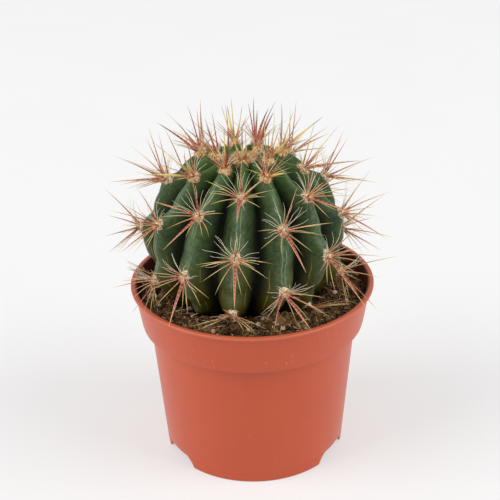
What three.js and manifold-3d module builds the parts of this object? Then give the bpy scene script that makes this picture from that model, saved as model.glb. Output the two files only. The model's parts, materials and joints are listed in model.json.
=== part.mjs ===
// A round ribbed cactus in a moulded nursery pot, about 180 mm tall. Millimetres, +Z up.
// The origin is on the pot's axis, in the plane that its feet stand on. +Y is the back.
import * as THREE from 'three';
import { mergeVertices } from 'three/addons/utils/BufferGeometryUtils.js';
import Module from 'manifold-3d';

const wasm = await Module();
wasm.setup();

const DEG = Math.PI / 180;
const GAP = 0.3;                    // clearance kept between pieces that touch

// The pot, a thin moulded shell
const POT_HEIGHT = 90.3;
const RIM_RADIUS = 60;              // the outside of the rolled lip: a 12 cm pot
const LIP_HEIGHT = 1.9;
const COLLAR_HEIGHT = 21.2;
const COLLAR_TOP_RADIUS = 58.3;
const COLLAR_FOOT_RADIUS = 55.1;
const BODY_TOP_RADIUS = 51.2;
const FOOT_RADIUS = 45.1;
const WALL = 1.3;
const EDGE = 0.7;                   // how far the lip's and the collar's edges are rounded
const FLOOR_HEIGHT = 6.2;           // the floor is raised above the feet
const POT_SIDES = 48;

// The cut-outs between the three feet, and the drain holes in the floor
const FEET = 3;
const NOTCH_HEIGHT = 5.2;
const NOTCH_WIDTH = 25;
const NOTCH_AZIMUTH = 61;           // from the front, to the right
const DRAINS = 6;
const DRAIN_RADIUS = 3.5;
const DRAIN_CIRCLE = 33;
const DRAIN_SIDES = 12;

// The soil, heaped a little round the stem
const SOIL_AT_WALL = 83.5;
const SOIL_HEAP = 3;
const FRONT_HEAP = 4;               // more of it in front
const FRONT_HEAP_POWER = 16;        // and only there
const HEAP_RADIUS = 55;             // the heap starts here, inside the wall
const HEAP_WIDTH = 14;
const SOIL_LUMP = 0.5;
const SOIL_SIDES = 34;

// The stem, a globe of 13 ribs that turn a little as they go down
const RIBS = 13;
const STEM_X = -3.4;                // the plant stands a little left of the pot's middle
const STEM_LEAN = 0.028;            // forward per unit of height above the soil
const STEM_RADIUS = 48.5;
const EQUATOR = 116.4;
const CROWN_RISE = 42.8;
const CROWN_POWER = 1.75;
const BASE_DROP = 42;
const BASE_POWER = 2.3;
const SOIL_LINE = 89;               // where the rib crests go into the soil
const BURIED = 3;                   // below it the ribs go on this far, then fade into the foot
const RIB_DEPTH = 10.5;
const RIB_POWER = 1.9;
const RIB_ONSET = 0.6;              // less than 1: the ribs are deep already near the apex
const FRONT_RIB = -4.6 * DEG;
const RIB_TWIST = -6 * DEG;         // over TWIST_ARC of crest
const TWIST_ARC = 60;
const DIMPLE = 5;                   // the sunken middle of the crown
const DIMPLE_RADIUS = 12;
const ROOT_TIP = 66;                // the buried foot of the stem ends here
const FOOT_LEVELS = [82, 79.5, 74, 67];
const FOOT_TAPER = 79.5;
const FOOT_NARROWING = 0.72;        // the part of the radius that is gone at the root tip
const FOOT_CURVE = 0.8;
const FOOT_RIBS = 0.2;              // what is left of the furrows in the foot
const FOOT_RIBS_END = 72;
const FIRST_ROW = 3;                // the skin's first ring, from the apex down the crest
const HALF_RIB = 3;                 // columns from a crest to a furrow
const STEM_ROWS = 15;

// Areoles: number n stands on rib 5n mod 13, at a distance down the crest that grows with n
const RIB_STEP = 5;
const FIRST_ARC = 8.6;
const ARC_STEP = 1.88;
const ARC_GROWTH = 0.0068;
const CROWN_AREOLES = 2;            // the youngest stand together in the wool of the crown
const WOOL_RADIUS = 7.5;
const WOOL_EDGE = 4.4;              // how far the wool's edge and its middle lie below the top
const WOOL_MIDDLE = 2.6;
const WOOL_DEPTH = 11;              // it fills the furrows down to here
const TOUCHING_WOOL = 2;            // the next areoles, which stand at its edge
const SADDLED = 2;                  // so many of them wrap round their rib,
const SADDLE_DEPTH = 1.5;           // reaching this far down its sides
const AREOLES = 43;
const CUSHION_WIDTH = 2.1;
const CUSHION_LENGTH = 2.6;
const CUSHION_HEIGHT = 2.4;
const CUSHION_SIDES = 6;
const YOUNG_WIDER = 0.4;            // a young cushion is wide and woolly
const YOUNG_LIFT = 0.5;             // and stands a little off its steeper rib
const OLDEST = 4;                   // the oldest cushions, down at the soil, are worn small
const WORN = 0.9;
const SWELLING = 1.4;               // the rib is swollen at an areole and nicked above it
const SWELLING_LENGTH = 7;
const NICK = 1.8;
const NICK_LENGTH = 4.5;
const NICK_ABOVE = 9.5;

// One seeded sequence of draws for each areole
function draws(seed) {
  let state = (seed * 2654435761) >>> 0;
  return () => {
    state = (Math.imul(state, 1664525) + 1013904223) >>> 0;
    return state / 4294967296;
  };
}

// The crest line from the apex down, as points with their distance along it
function crestLine() {
  const steps = 240;
  const line = [];
  let arc = 0;
  for (let i = 0; i <= steps; i++) {
    const t = Math.PI / 2 - (Math.PI * 0.97 * i) / steps;
    const rise = t >= 0 ? CROWN_RISE : BASE_DROP;
    const power = t >= 0 ? CROWN_POWER : BASE_POWER;
    const z = EQUATOR + rise * Math.sin(t);
    const radius = STEM_RADIUS * Math.sqrt(Math.max(0, 1 - Math.abs(Math.sin(t)) ** power));
    if (i > 0) {
      const last = line[i - 1];
      arc += Math.hypot(radius - last.radius, z - last.z);
    }
    line.push({ arc, radius, z });
  }
  return line;
}
const CREST = crestLine();

// Radius and height on the crest line at a distance from the apex, with its outward normal
function crestAt(arc) {
  let i = 1;
  while (i < CREST.length - 1 && CREST[i].arc < arc) i++;
  const a = CREST[i - 1];
  const b = CREST[i];
  const f = (arc - a.arc) / (b.arc - a.arc);
  const along = [(b.radius - a.radius) / (b.arc - a.arc), (b.z - a.z) / (b.arc - a.arc)];
  const size = Math.hypot(along[0], along[1]);
  return {
    radius: a.radius + f * (b.radius - a.radius),
    z: a.z + f * (b.z - a.z),
    outR: -along[1] / size,
    outZ: along[0] / size,
  };
}

// The distance along the crest line at a height
function arcAtHeight(z) {
  let i = CREST.length - 1;
  while (i > 0 && CREST[i].z < z) i--;
  const a = CREST[i];
  const b = CREST[Math.min(i + 1, CREST.length - 1)];
  return a.arc + ((a.z - z) / (a.z - b.z)) * (b.arc - a.arc);
}

const axisY = (z) => -STEM_LEAN * (z - SOIL_LINE);
const crestAzimuth = (rib, arc) =>
  FRONT_RIB + (rib * 2 * Math.PI) / RIBS + (RIB_TWIST * (arc - TWIST_ARC)) / TWIST_ARC;
const ribOf = (n) => (RIB_STEP * n) % RIBS;
const arcOf = (n) => FIRST_ARC + ARC_STEP * n + ARC_GROWTH * n * n;

// How far the crest of a rib stands out or in at a place, from the areoles near it
function crestRelief(rib, arc) {
  let relief = 0;
  for (let n = 0; n < AREOLES + RIBS; n++) {
    if (ribOf(n) !== rib) continue;
    const below = arc - arcOf(n);
    relief += SWELLING * Math.exp(-(((below - 1) / SWELLING_LENGTH) ** 2));
    relief -= NICK * Math.exp(-(((below + NICK_ABOVE) / NICK_LENGTH) ** 2));
  }
  return relief;
}

// A point of the ribbed skin: a distance down from the apex and an azimuth from the front
function stemPoint(arc, azimuth, lift = 0) {
  const crest = crestAt(arc);
  const turn = (azimuth - crestAzimuth(0, arc)) / ((2 * Math.PI) / RIBS);
  const nearest = Math.round(turn);
  const across = Math.abs(turn - nearest) * 2;
  const rib = ((nearest % RIBS) + RIBS) % RIBS;
  const grown = Math.min(1, crest.radius / STEM_RADIUS) ** RIB_ONSET;
  const furrow = RIB_DEPTH * grown * across ** RIB_POWER;
  const buried = Math.min(1, Math.max(0, (crest.z - SOIL_LINE + BURIED) / BURIED));
  const relief = crestRelief(rib, arc) * grown * buried * (1 - across * across);
  const out = relief - furrow + lift;
  const radius = crest.radius + out * crest.outR;
  const dimple = DIMPLE * Math.max(0, 1 - (crest.radius / DIMPLE_RADIUS) ** 2);
  const z = crest.z + out * crest.outZ - dimple;
  const x = STEM_X + radius * Math.sin(azimuth);
  return new THREE.Vector3(x, axisY(z) - radius * Math.cos(azimuth), z);
}

// The height of the soil at a place in the pot
function soilTop(radius, azimuth) {
  const near = Math.min(1, Math.max(0, (HEAP_RADIUS - radius) / HEAP_WIDTH));
  const lumps = Math.sin(3 * azimuth + 0.7) * Math.cos(radius * 0.35 + azimuth)
    + 0.6 * Math.sin(7 * azimuth - radius * 0.5);
  const heap = SOIL_HEAP + FRONT_HEAP * Math.cos(azimuth / 2) ** FRONT_HEAP_POWER;
  return SOIL_AT_WALL + heap * near * near * (3 - 2 * near) + SOIL_LUMP * lumps;
}

// A closed triangle mesh of rings of points, from a first pole to a last pole
function closedRings(rings, first, last) {
  const vertices = [first, ...rings.flat(), last];
  const count = rings[0].length;
  const faces = [];
  const at = (ring, i) => 1 + ring * count + (i % count);
  for (let i = 0; i < count; i++) {
    faces.push([0, at(0, i), at(0, i + 1)]);
    for (let ring = 0; ring < rings.length - 1; ring++) {
      faces.push([at(ring, i), at(ring + 1, i), at(ring + 1, i + 1)]);
      faces.push([at(ring, i), at(ring + 1, i + 1), at(ring, i + 1)]);
    }
    const bottom = rings.length - 1;
    faces.push([at(bottom, i), vertices.length - 1, at(bottom, i + 1)]);
  }
  const geometry = new THREE.BufferGeometry();
  geometry.setAttribute('position', new THREE.Float32BufferAttribute(
    vertices.flatMap((v) => [v.x, v.y, v.z]), 3));
  geometry.setIndex(faces.flat());
  return geometry;
}

// Between a plain mesh and a solid that can be joined and cut
function toSolid(geometry) {
  let bare = geometry.clone();
  bare.deleteAttribute('normal');
  bare.deleteAttribute('uv');
  bare = mergeVertices(bare, 1e-5);
  return new wasm.Manifold(new wasm.Mesh({
    numProp: 3,
    vertProperties: new Float32Array(bare.attributes.position.array),
    triVerts: new Uint32Array(bare.index.array),
  }));
}

function toGeometry(solid) {
  const mesh = solid.getMesh();
  const geometry = new THREE.BufferGeometry();
  geometry.setAttribute('position', new THREE.BufferAttribute(mesh.vertProperties, 3));
  geometry.setIndex(new THREE.BufferAttribute(mesh.triVerts, 1));
  return geometry;
}

// A ring-shaped or round solid turned about the pot's axis, from [radius, height] pairs
function turned(profile, sides) {
  const points = profile.map(([radius, z]) => new THREE.Vector2(radius, z));
  return new THREE.LatheGeometry(points, sides).rotateX(Math.PI / 2);
}

const bodyRadius = (z) =>
  FOOT_RADIUS + ((BODY_TOP_RADIUS - FOOT_RADIUS) * z) / (POT_HEIGHT - COLLAR_HEIGHT);
const COLLAR_BASE = POT_HEIGHT - COLLAR_HEIGHT;
const collarRadius = (z) => COLLAR_FOOT_RADIUS
  + ((COLLAR_TOP_RADIUS - COLLAR_FOOT_RADIUS) * (z - COLLAR_BASE)) / (COLLAR_HEIGHT - LIP_HEIGHT);

// The pot: one turned shell, with the cut-outs of the foot and the drain holes taken out
function potShell() {
  const lip = POT_HEIGHT - LIP_HEIGHT;
  const outside = [
    [0, FLOOR_HEIGHT - WALL],
    [bodyRadius(FLOOR_HEIGHT) - WALL - 1, FLOOR_HEIGHT - WALL],
    [FOOT_RADIUS - WALL, 0],
    [FOOT_RADIUS, 0],
    [bodyRadius(COLLAR_BASE), COLLAR_BASE],
    [COLLAR_FOOT_RADIUS - EDGE, COLLAR_BASE],
    [COLLAR_FOOT_RADIUS, COLLAR_BASE + EDGE],
    [collarRadius(lip), lip],
    [RIM_RADIUS, lip + EDGE / 2],
    [RIM_RADIUS, POT_HEIGHT - EDGE],
    [RIM_RADIUS - EDGE, POT_HEIGHT],
  ];
  const inside = [
    [collarRadius(lip) - WALL + EDGE / 2, POT_HEIGHT],
    [collarRadius(lip) - WALL, POT_HEIGHT - EDGE],
    [COLLAR_FOOT_RADIUS - WALL, COLLAR_BASE + WALL],
    [bodyRadius(COLLAR_BASE) - WALL, COLLAR_BASE - EDGE / 2],
    [bodyRadius(FLOOR_HEIGHT) - WALL, FLOOR_HEIGHT + 1],
    [bodyRadius(FLOOR_HEIGHT) - WALL - 1, FLOOR_HEIGHT],
    [0, FLOOR_HEIGHT],
  ];
  let pot = toSolid(turned([...outside, ...inside], POT_SIDES));
  for (let i = 0; i < FEET; i++) {
    pot = pot.subtract(notchCutter(NOTCH_AZIMUTH * DEG + (i * 2 * Math.PI) / FEET));
  }
  for (let i = 0; i < DRAINS; i++) {
    const turn = ((i + 0.5) * 2 * Math.PI) / DRAINS;
    const drill = new THREE.CylinderGeometry(DRAIN_RADIUS, DRAIN_RADIUS, 4 * WALL, DRAIN_SIDES);
    drill.rotateX(Math.PI / 2);
    drill.translate(DRAIN_CIRCLE * Math.sin(turn), -DRAIN_CIRCLE * Math.cos(turn), FLOOR_HEIGHT);
    pot = pot.subtract(toSolid(drill));
  }
  return toGeometry(pot);
}

// A low arch with slanted ends and round corners, cut through the skirt below the floor
function notchCutter(azimuth) {
  const half = NOTCH_WIDTH / 2;
  const round = 3;
  const outline = new THREE.Shape();
  outline.moveTo(-half, -1);
  outline.lineTo(half, -1);
  outline.lineTo(half - round / 2, NOTCH_HEIGHT - round);
  outline.quadraticCurveTo(half - round, NOTCH_HEIGHT, half - 2 * round, NOTCH_HEIGHT);
  outline.lineTo(2 * round - half, NOTCH_HEIGHT);
  outline.quadraticCurveTo(round - half, NOTCH_HEIGHT, round / 2 - half, NOTCH_HEIGHT - round);
  outline.closePath();
  const depth = 9;
  const cutter = new THREE.ExtrudeGeometry(outline, { depth, bevelEnabled: false, curveSegments: 3 });
  cutter.rotateX(Math.PI / 2);
  cutter.translate(0, depth / 2 - FOOT_RADIUS, 0);
  return toSolid(cutter.rotateZ(azimuth));
}

// The soil fills the pot and has a plain hole that the foot of the stem stands in
function soilPlug() {
  const rings = [];
  const ring = (radiusAt, heightAt, middle) => {
    const points = [];
    for (let i = 0; i < SOIL_SIDES; i++) {
      const azimuth = (i * 2 * Math.PI) / SOIL_SIDES;
      const radius = radiusAt(azimuth);
      const x = middle[0] + radius * Math.sin(azimuth);
      const y = middle[1] - radius * Math.cos(azimuth);
      points.push(new THREE.Vector3(x, y, heightAt(x, y)));
    }
    rings.push(points);
  };
  const stemMiddle = (z) => [STEM_X, axisY(z)];
  const relief = (x, y) => soilTop(Math.hypot(x, y), Math.atan2(x, -y));
  for (const z of [ROOT_TIP - GAP, ...FOOT_LEVELS.toReversed(), SOIL_LINE - BURIED]) {
    ring(() => footRadius(z) + 1.5 * GAP, () => z, stemMiddle(z));
  }
  const stemEdge = STEM_RADIUS - 6;
  const mouth = (azimuth) => footRadius(soilTop(stemEdge, azimuth)) + SWELLING + 2 * GAP;
  ring(mouth, relief, stemMiddle(SOIL_LINE));
  const wall = collarRadius(SOIL_AT_WALL) - WALL - 2 * GAP;
  for (const part of [0.35, 0.7, 1]) {
    const middle = [STEM_X * (1 - part), 0];
    ring((azimuth) => mouth(azimuth) + (wall - mouth(azimuth)) * part, relief, middle);
  }
  const step = bodyRadius(COLLAR_BASE) - WALL - 3 * GAP;
  ring(() => COLLAR_FOOT_RADIUS - WALL - 3 * GAP, () => COLLAR_BASE + WALL + 2 * GAP, [0, 0]);
  ring(() => step, () => COLLAR_BASE - EDGE / 2, [0, 0]);
  ring(() => bodyRadius(FLOOR_HEIGHT) - WALL - 3 * GAP, () => FLOOR_HEIGHT + 1 + GAP, [0, 0]);
  ring(() => bodyRadius(FLOOR_HEIGHT) - WALL - 4, () => FLOOR_HEIGHT + GAP, [0, 0]);
  const pit = new THREE.Vector3(STEM_X, axisY(ROOT_TIP), ROOT_TIP - GAP);
  const floor = new THREE.Vector3(0, 0, FLOOR_HEIGHT + GAP);
  let soil = toSolid(closedRings(rings, pit, floor));
  for (let n = AREOLES - OLDEST; n < AREOLES; n++) {
    soil = soil.subtract(toSolid(cushion(areoleFrame(n), 2 * GAP, -2 * GAP)));
  }
  return toGeometry(soil);
}

// The buried foot narrows from the crest line to a blunt root
function footRadius(z) {
  const line = crestAt(arcAtHeight(Math.max(z, FOOT_TAPER))).radius;
  const narrow = Math.max(0, (FOOT_TAPER - z) / (FOOT_TAPER - ROOT_TIP));
  return line * (1 - FOOT_NARROWING * narrow ** FOOT_CURVE);
}

// The whole stem. With a lift it is the same form, grown all over by that much.
function stemGlobe(lift = 0) {
  const columns = RIBS * 2 * HALF_RIB;
  const rings = [];
  const lastArc = arcAtHeight(SOIL_LINE - BURIED);
  for (let row = 0; row <= STEM_ROWS; row++) {
    const arc = FIRST_ROW + ((lastArc - FIRST_ROW) * row) / STEM_ROWS;
    const points = [];
    for (let i = 0; i < columns; i++) {
      const azimuth = crestAzimuth(0, arc) + (i * 2 * Math.PI) / columns;
      points.push(stemPoint(arc, azimuth, lift));
    }
    rings.push(points);
  }
  const lastAzimuth = crestAzimuth(0, lastArc);
  for (const z of FOOT_LEVELS) {
    const points = [];
    for (let i = 0; i < columns; i++) {
      const azimuth = lastAzimuth + (i * 2 * Math.PI) / columns;
      const across = Math.abs(((i + HALF_RIB) % (2 * HALF_RIB)) - HALF_RIB) / HALF_RIB;
      const left = Math.max(0, (z - FOOT_RIBS_END) / (SOIL_LINE - BURIED - FOOT_RIBS_END));
      const ribbed = 1 - FOOT_RIBS * across ** RIB_POWER * left;
      const radius = footRadius(z) * ribbed;
      const x = STEM_X + radius * Math.sin(azimuth);
      points.push(new THREE.Vector3(x, axisY(z) - radius * Math.cos(azimuth), z));
    }
    rings.push(points);
  }
  const top = EQUATOR + CROWN_RISE;
  const apex = new THREE.Vector3(STEM_X, axisY(top), top - DIMPLE + lift);
  return closedRings(rings, apex, new THREE.Vector3(STEM_X, axisY(ROOT_TIP), ROOT_TIP));
}

// Where an areole stands, with the directions out of the skin, to the apex and to the right
function areoleFrame(n) {
  const arc = arcOf(n);
  const azimuth = crestAzimuth(ribOf(n), arc);
  const at = stemPoint(arc, azimuth);
  const crest = crestAt(arc);
  const out = new THREE.Vector3(
    crest.outR * Math.sin(azimuth), -crest.outR * Math.cos(azimuth), crest.outZ).normalize();
  const up = new THREE.Vector3(
    -crest.outZ * Math.sin(azimuth), crest.outZ * Math.cos(azimuth), crest.outR).normalize();
  return { n, arc, azimuth, at, out, up, right: new THREE.Vector3().crossVectors(up, out) };
}

// The spines of every areole. Turn is from the apex, clockwise, and rise is out of the skin,
// both in degrees. The main one hangs like a tongue.
const SPINES = [
  { kind: 'main', turn: 180, rise: 42, length: 28, width: 0.95 },
  { kind: 'central', turn: 4, rise: 54, length: 26, width: 0.65 },
  { kind: 'central', turn: -96, rise: 58, length: 25, width: 0.62 },
  { kind: 'central', turn: 96, rise: 58, length: 25, width: 0.62 },
  { kind: 'radial', turn: -90, rise: 26, length: 18, width: 0.5 },
  { kind: 'radial', turn: 90, rise: 26, length: 18, width: 0.5 },
  { kind: 'radial', turn: -117, rise: 32, length: 17.5, width: 0.5 },
  { kind: 'radial', turn: 117, rise: 32, length: 17.5, width: 0.5 },
  { kind: 'radial', turn: -146, rise: 34, length: 17, width: 0.48 },
  { kind: 'radial', turn: 142, rise: 32, length: 17, width: 0.48 },
  { kind: 'radial', turn: 166, rise: 30, length: 14, width: 0.42 },
];
const SCATTER_TURN = 8;             // half as much in the main spine
const SCATTER_RISE = 7;
const SCATTER_LENGTH = 0.12;
const MAIN_DROOP = 0.05;            // how far its tip falls back, as a part of its length
const MAIN_FLATNESS = 0.6;
const YOUNG_AREOLES = 16;           // the spines of a young areole are still folded together:
const YOUNG_RISE = 26;              // they stand up more
const YOUNG_SHORTER = 0.34;         // and are shorter
const ROOT_SPREAD = 1.3;            // the spines of an areole start in a small ring
const ROOT_DEPTH = 1.4;             // inside the cushion, above the plain skin
const BEND = 0.7;                   // how thick a spine still is in its middle

const youth = (n) => Math.max(0, 1 - n / YOUNG_AREOLES);
const cushionSize = (n) => (n >= AREOLES - OLDEST ? WORN : 1 + YOUNG_WIDER * youth(n));

// The three points that a spine runs through, for a turn, a rise and a length
function spinePath(frame, root, turn, rise, length, droop, raised) {
  const level = Math.cos(rise * DEG);
  const way = new THREE.Vector3()
    .addScaledVector(frame.up, level * Math.cos(turn * DEG))
    .addScaledVector(frame.right, level * Math.sin(turn * DEG))
    .addScaledVector(frame.out, Math.sin(rise * DEG));
  way.z += raised;
  way.normalize();
  const start = root.clone()
    .addScaledVector(frame.up, ROOT_SPREAD * Math.cos(turn * DEG))
    .addScaledVector(frame.right, ROOT_SPREAD * Math.sin(turn * DEG));
  const middle = start.clone().addScaledVector(way, length / 2);
  const tip = start.clone().addScaledVector(way, length)
    .addScaledVector(frame.out, -droop * length);
  return [start, middle, tip];
}

// The least distance between two straight stretches, with the place of it on each
function stretchDistance(p, q, a, b) {
  const d1 = q.clone().sub(p);
  const d2 = b.clone().sub(a);
  const r = p.clone().sub(a);
  const aa = d1.dot(d1);
  const ee = d2.dot(d2);
  const f = d2.dot(r);
  const c = d1.dot(r);
  const bb = d1.dot(d2);
  const denominator = aa * ee - bb * bb;
  let s = denominator > 1e-9 ? Math.min(1, Math.max(0, (bb * f - c * ee) / denominator)) : 0;
  let t = (bb * s + f) / ee;
  if (t < 0) {
    t = 0;
    s = Math.min(1, Math.max(0, -c / aa));
  } else if (t > 1) {
    t = 1;
    s = Math.min(1, Math.max(0, (bb - c) / aa));
  }
  const gap = p.clone().addScaledVector(d1, s).distanceTo(a.clone().addScaledVector(d2, t));
  return { gap, s, t };
}

// How thick a spine is at a place on its first or second half
const thickness = (width, half, part) =>
  (half === 0 ? width * (1 - (1 - BEND) * part) : width * BEND * (1 - part));

const SPINE_REACH = 72;             // from the pot's axis, seen from above
const LOW_REACH = 62;               // of the oldest areoles, which stay over the soil
const LIP_CLEAR = 1;
const OVERHANG_HEIGHT = 7;          // a main spine ends inside the lip, or this far above it
const SPINE_CLEAR = 0.35;
const OPEN_RADIUS = 55.5;           // the pot is open inside of this

// A spine has to pass over the soil and the pot's lip, and ends inside a reach
function clearsPot(path, width, reach) {
  if (Math.hypot(path[2].x, path[2].y) > reach) return false;
  for (let half = 0; half < 2; half++) {
    for (let step = 1; step <= 6; step++) {
      const p = path[half].clone().lerp(path[half + 1], step / 6);
      const radius = Math.hypot(p.x, p.y);
      const azimuth = Math.atan2(p.x, -p.y);
      let lowest = -Infinity;
      if (radius < OPEN_RADIUS) lowest = soilTop(radius, azimuth) + LIP_CLEAR + SPINE_CLEAR + width;
      else if (radius < RIM_RADIUS + 1) lowest = POT_HEIGHT + LIP_CLEAR + width;
      else if (radius < RIM_RADIUS + 3) lowest = POT_HEIGHT;
      if (p.z < lowest) return false;
    }
  }
  return true;
}

const overhangs = (tip) =>
  Math.hypot(tip.x, tip.y) > OPEN_RADIUS && tip.z < POT_HEIGHT + OVERHANG_HEIGHT;

// It stays outside the crests of the ribs, once it has left its own
function clearsStem(path, width) {
  for (const part of [0.3, 0.65, 1]) {
    const p = path[1].clone().lerp(path[2], part);
    if (p.z > EQUATOR + CROWN_RISE) continue;
    const radius = Math.hypot(p.x - STEM_X, p.y - axisY(p.z));
    if (radius < crestAt(arcAtHeight(p.z)).radius + SWELLING + width + SPINE_CLEAR) return false;
  }
  return true;
}

// And clear of the spines and cushions of every other areole
function clearsOthers(path, width, n, grown, cushions) {
  const reach = path[0].distanceTo(path[2]);
  for (const cushion of cushions) {
    if (cushion.n === n) continue;
    for (let half = 0; half < 2; half++) {
      const near = new THREE.Line3(path[half], path[half + 1])
        .closestPointToPoint(cushion.middle, true, new THREE.Vector3());
      if (near.distanceTo(cushion.middle) < cushion.radius + width + SPINE_CLEAR) return false;
    }
  }
  for (const other of grown) {
    if (other.n === n) continue;
    if (other.path[0].distanceTo(path[0]) > other.reach + reach + 3) continue;
    for (let i = 0; i < 2; i++) {
      for (let j = 0; j < 2; j++) {
        const near = stretchDistance(path[i], path[i + 1], other.path[j], other.path[j + 1]);
        const thick = thickness(width, i, near.s) + thickness(other.width, j, near.t);
        if (near.gap < thick + SPINE_CLEAR) return false;
      }
    }
  }
  return true;
}

const TRIES = 30;                   // small turns tried before a spine is made shorter
const TURN_TRY = 1.6;               // degrees to one side, then to the other, and so on
const STEEPEST = 88;                // the rise that the tries go up to
const SHORTER_TRY = 0.82;
const SHORTENINGS = 4;
const LOW_RAISED = 1.2;             // the lowest spines are also turned up, away from the soil
const CROWN = -1;                   // the number of the crown, among the areoles

// Every spine of the plant. One that would meet something is bent clear of it.
function growSpines() {
  const frames = [];
  for (let n = 0; n < AREOLES; n++) frames.push(areoleFrame(n));
  const bodyOf = (n) => (n < CROWN_AREOLES ? CROWN : n);
  const cushions = frames.map((frame) => ({
    n: bodyOf(frame.n),
    middle: frame.at.clone().addScaledVector(frame.out, 1),
    radius: CUSHION_LENGTH * cushionSize(frame.n),
  }));
  const grown = [];
  for (const frame of frames) {
    const draw = draws(frame.n + 11);
    const young = youth(frame.n);
    const body = bodyOf(frame.n);
    const root = frame.at.clone().addScaledVector(frame.out, ROOT_DEPTH);
    for (const spine of SPINES) {
      const main = spine.kind === 'main';
      const low = frame.n >= AREOLES - OLDEST;
      const up = low ? LOW_RAISED : 0;
      const loose = main ? 0.5 : 1;
      const turn = spine.turn + loose * SCATTER_TURN * (2 * draw() - 1);
      const rise = spine.rise + loose * SCATTER_RISE * (2 * draw() - 1) + YOUNG_RISE * young;
      const size = (1 + SCATTER_LENGTH * (2 * draw() - 1)) * (1 - YOUNG_SHORTER * young);
      const length = spine.length * size;
      for (let attempt = 0; attempt < SHORTENINGS * TRIES; attempt++) {
        const step = attempt % TRIES;
        const reach = length * SHORTER_TRY ** Math.floor(attempt / TRIES);
        const side = (step % 2 ? 1 : -1) * step * TURN_TRY;
        const lift = rise + (STEEPEST - rise) * (step / TRIES);
        const droop = main ? MAIN_DROOP : 0;
        const path = spinePath(frame, root, turn + side, lift, reach, droop, up * step / TRIES);
        if (main && overhangs(path[2])) continue;
        if (!clearsStem(path, spine.width)) continue;
        if (!clearsPot(path, spine.width, low ? LOW_REACH : SPINE_REACH)) continue;
        if (!clearsOthers(path, spine.width, body, grown, cushions)) continue;
        grown.push({ n: body, kind: spine.kind, width: spine.width, path, reach });
        break;
      }
    }
  }
  return grown;
}

// A tapered needle of three sides, pointed at the tip and bent in the middle
function needle(path, width, flat, bent) {
  const way = path[2].clone().sub(path[0]).normalize();
  const side = new THREE.Vector3().crossVectors(way, new THREE.Vector3(0, 0, 1)).normalize();
  const top = new THREE.Vector3().crossVectors(side, way);
  const ring = (middle, size) => {
    const points = [];
    for (let i = 0; i < 3; i++) {
      const turn = (i * 2 * Math.PI) / 3 + Math.PI / 2;
      points.push(middle.clone()
        .addScaledVector(side, size * Math.cos(turn))
        .addScaledVector(top, size * flat * Math.sin(turn)));
    }
    return points;
  };
  const rings = [ring(path[0], width)];
  if (bent) rings.push(ring(path[1], width * BEND));
  return closedRings(rings, path[0], path[2]);
}

// A woolly cushion on the skin of the stem, lying along the rib
function cushion(frame, extra = 0, under = GAP + 0.05 + YOUNG_LIFT * youth(frame.n)) {
  const size = cushionSize(frame.n);
  const width = CUSHION_WIDTH * size + extra;
  const length = CUSHION_LENGTH * size + extra;
  const top = GAP + CUSHION_HEIGHT + 3 * extra;
  const point = (ring, i, lift) => {
    const turn = (i * 2 * Math.PI) / CUSHION_SIDES;
    const down = ring * length * Math.cos(turn);
    const across = ring * width * Math.sin(turn);
    const crest = crestAt(frame.arc + down);
    const azimuth = crestAzimuth(ribOf(frame.n), frame.arc + down) + across / crest.radius;
    return stemPoint(frame.arc + down, azimuth, lift);
  };
  const ringOf = (part, lift) => {
    const points = [];
    for (let i = 0; i < CUSHION_SIDES; i++) points.push(point(part, i, lift));
    return points;
  };
  const rings = [ringOf(0.65, top * 0.8), ringOf(1, under)];
  return closedRings(rings, point(0, 0, top), point(0, 0, under));
}

// The youngest cushions wrap round a narrow rib, so their undersides are cut to the skin
const onSkin = (solid) => solid.subtract(toSolid(stemGlobe(1.5 * GAP)));
const rootedCushion = (n) => toSolid(cushion(areoleFrame(n), 0, -SADDLE_DEPTH));

// Only the main piece of a solid, without any crumb that a cut has left
const mainPiece = (solid) =>
  solid.decompose().reduce((a, b) => (a.volume() > b.volume() ? a : b));

function withSpines(solid, spines) {
  let joined = solid;
  for (const spine of spines) {
    const main = spine.kind === 'main';
    const flat = main ? MAIN_FLATNESS : 1;
    joined = joined.add(toSolid(needle(spine.path, spine.width, flat, main)));
  }
  return toGeometry(mainPiece(joined));
}

// A cushion with its spines standing in it
function areoleSolid(n, spines) {
  const saddled = n < CROWN_AREOLES + SADDLED;
  const pad = saddled ? onSkin(rootedCushion(n)) : toSolid(cushion(areoleFrame(n)));
  return withSpines(pad, spines);
}

// The wool of the crown fills its dimple and holds the youngest areoles together
function crownSolid(spines) {
  const top = EQUATOR + CROWN_RISE;
  const bottom = top - WOOL_DEPTH;
  const profile = [
    [0, bottom],
    [WOOL_RADIUS, bottom],
    [WOOL_RADIUS, top - WOOL_EDGE],
    [WOOL_RADIUS * 0.6, top - (WOOL_EDGE + 2 * WOOL_MIDDLE) / 3],
    [0, top - WOOL_MIDDLE],
  ];
  let wool = toSolid(turned(profile, RIBS).translate(STEM_X, axisY(top), 0));
  for (let n = 0; n < CROWN_AREOLES; n++) wool = wool.add(rootedCushion(n));
  wool = onSkin(wool);
  for (let n = CROWN_AREOLES; n < CROWN_AREOLES + TOUCHING_WOOL; n++) {
    wool = wool.subtract(toSolid(cushion(areoleFrame(n), 2 * GAP, -SADDLE_DEPTH)));
  }
  return withSpines(wool, spines);
}

function named(name, geometry, colour, roughness) {
  const material = new THREE.MeshStandardMaterial({ color: colour, roughness, metalness: 0 });
  const mesh = new THREE.Mesh(geometry, material);
  mesh.name = name;
  return mesh;
}

const group = new THREE.Group();
group.add(named('pot', potShell(), 0xbf6248, 0.45));
group.add(named('soil', soilPlug(), 0x4a3527, 0.95));
group.add(named('stem', stemGlobe(), 0x3d5a45, 0.5));

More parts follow.
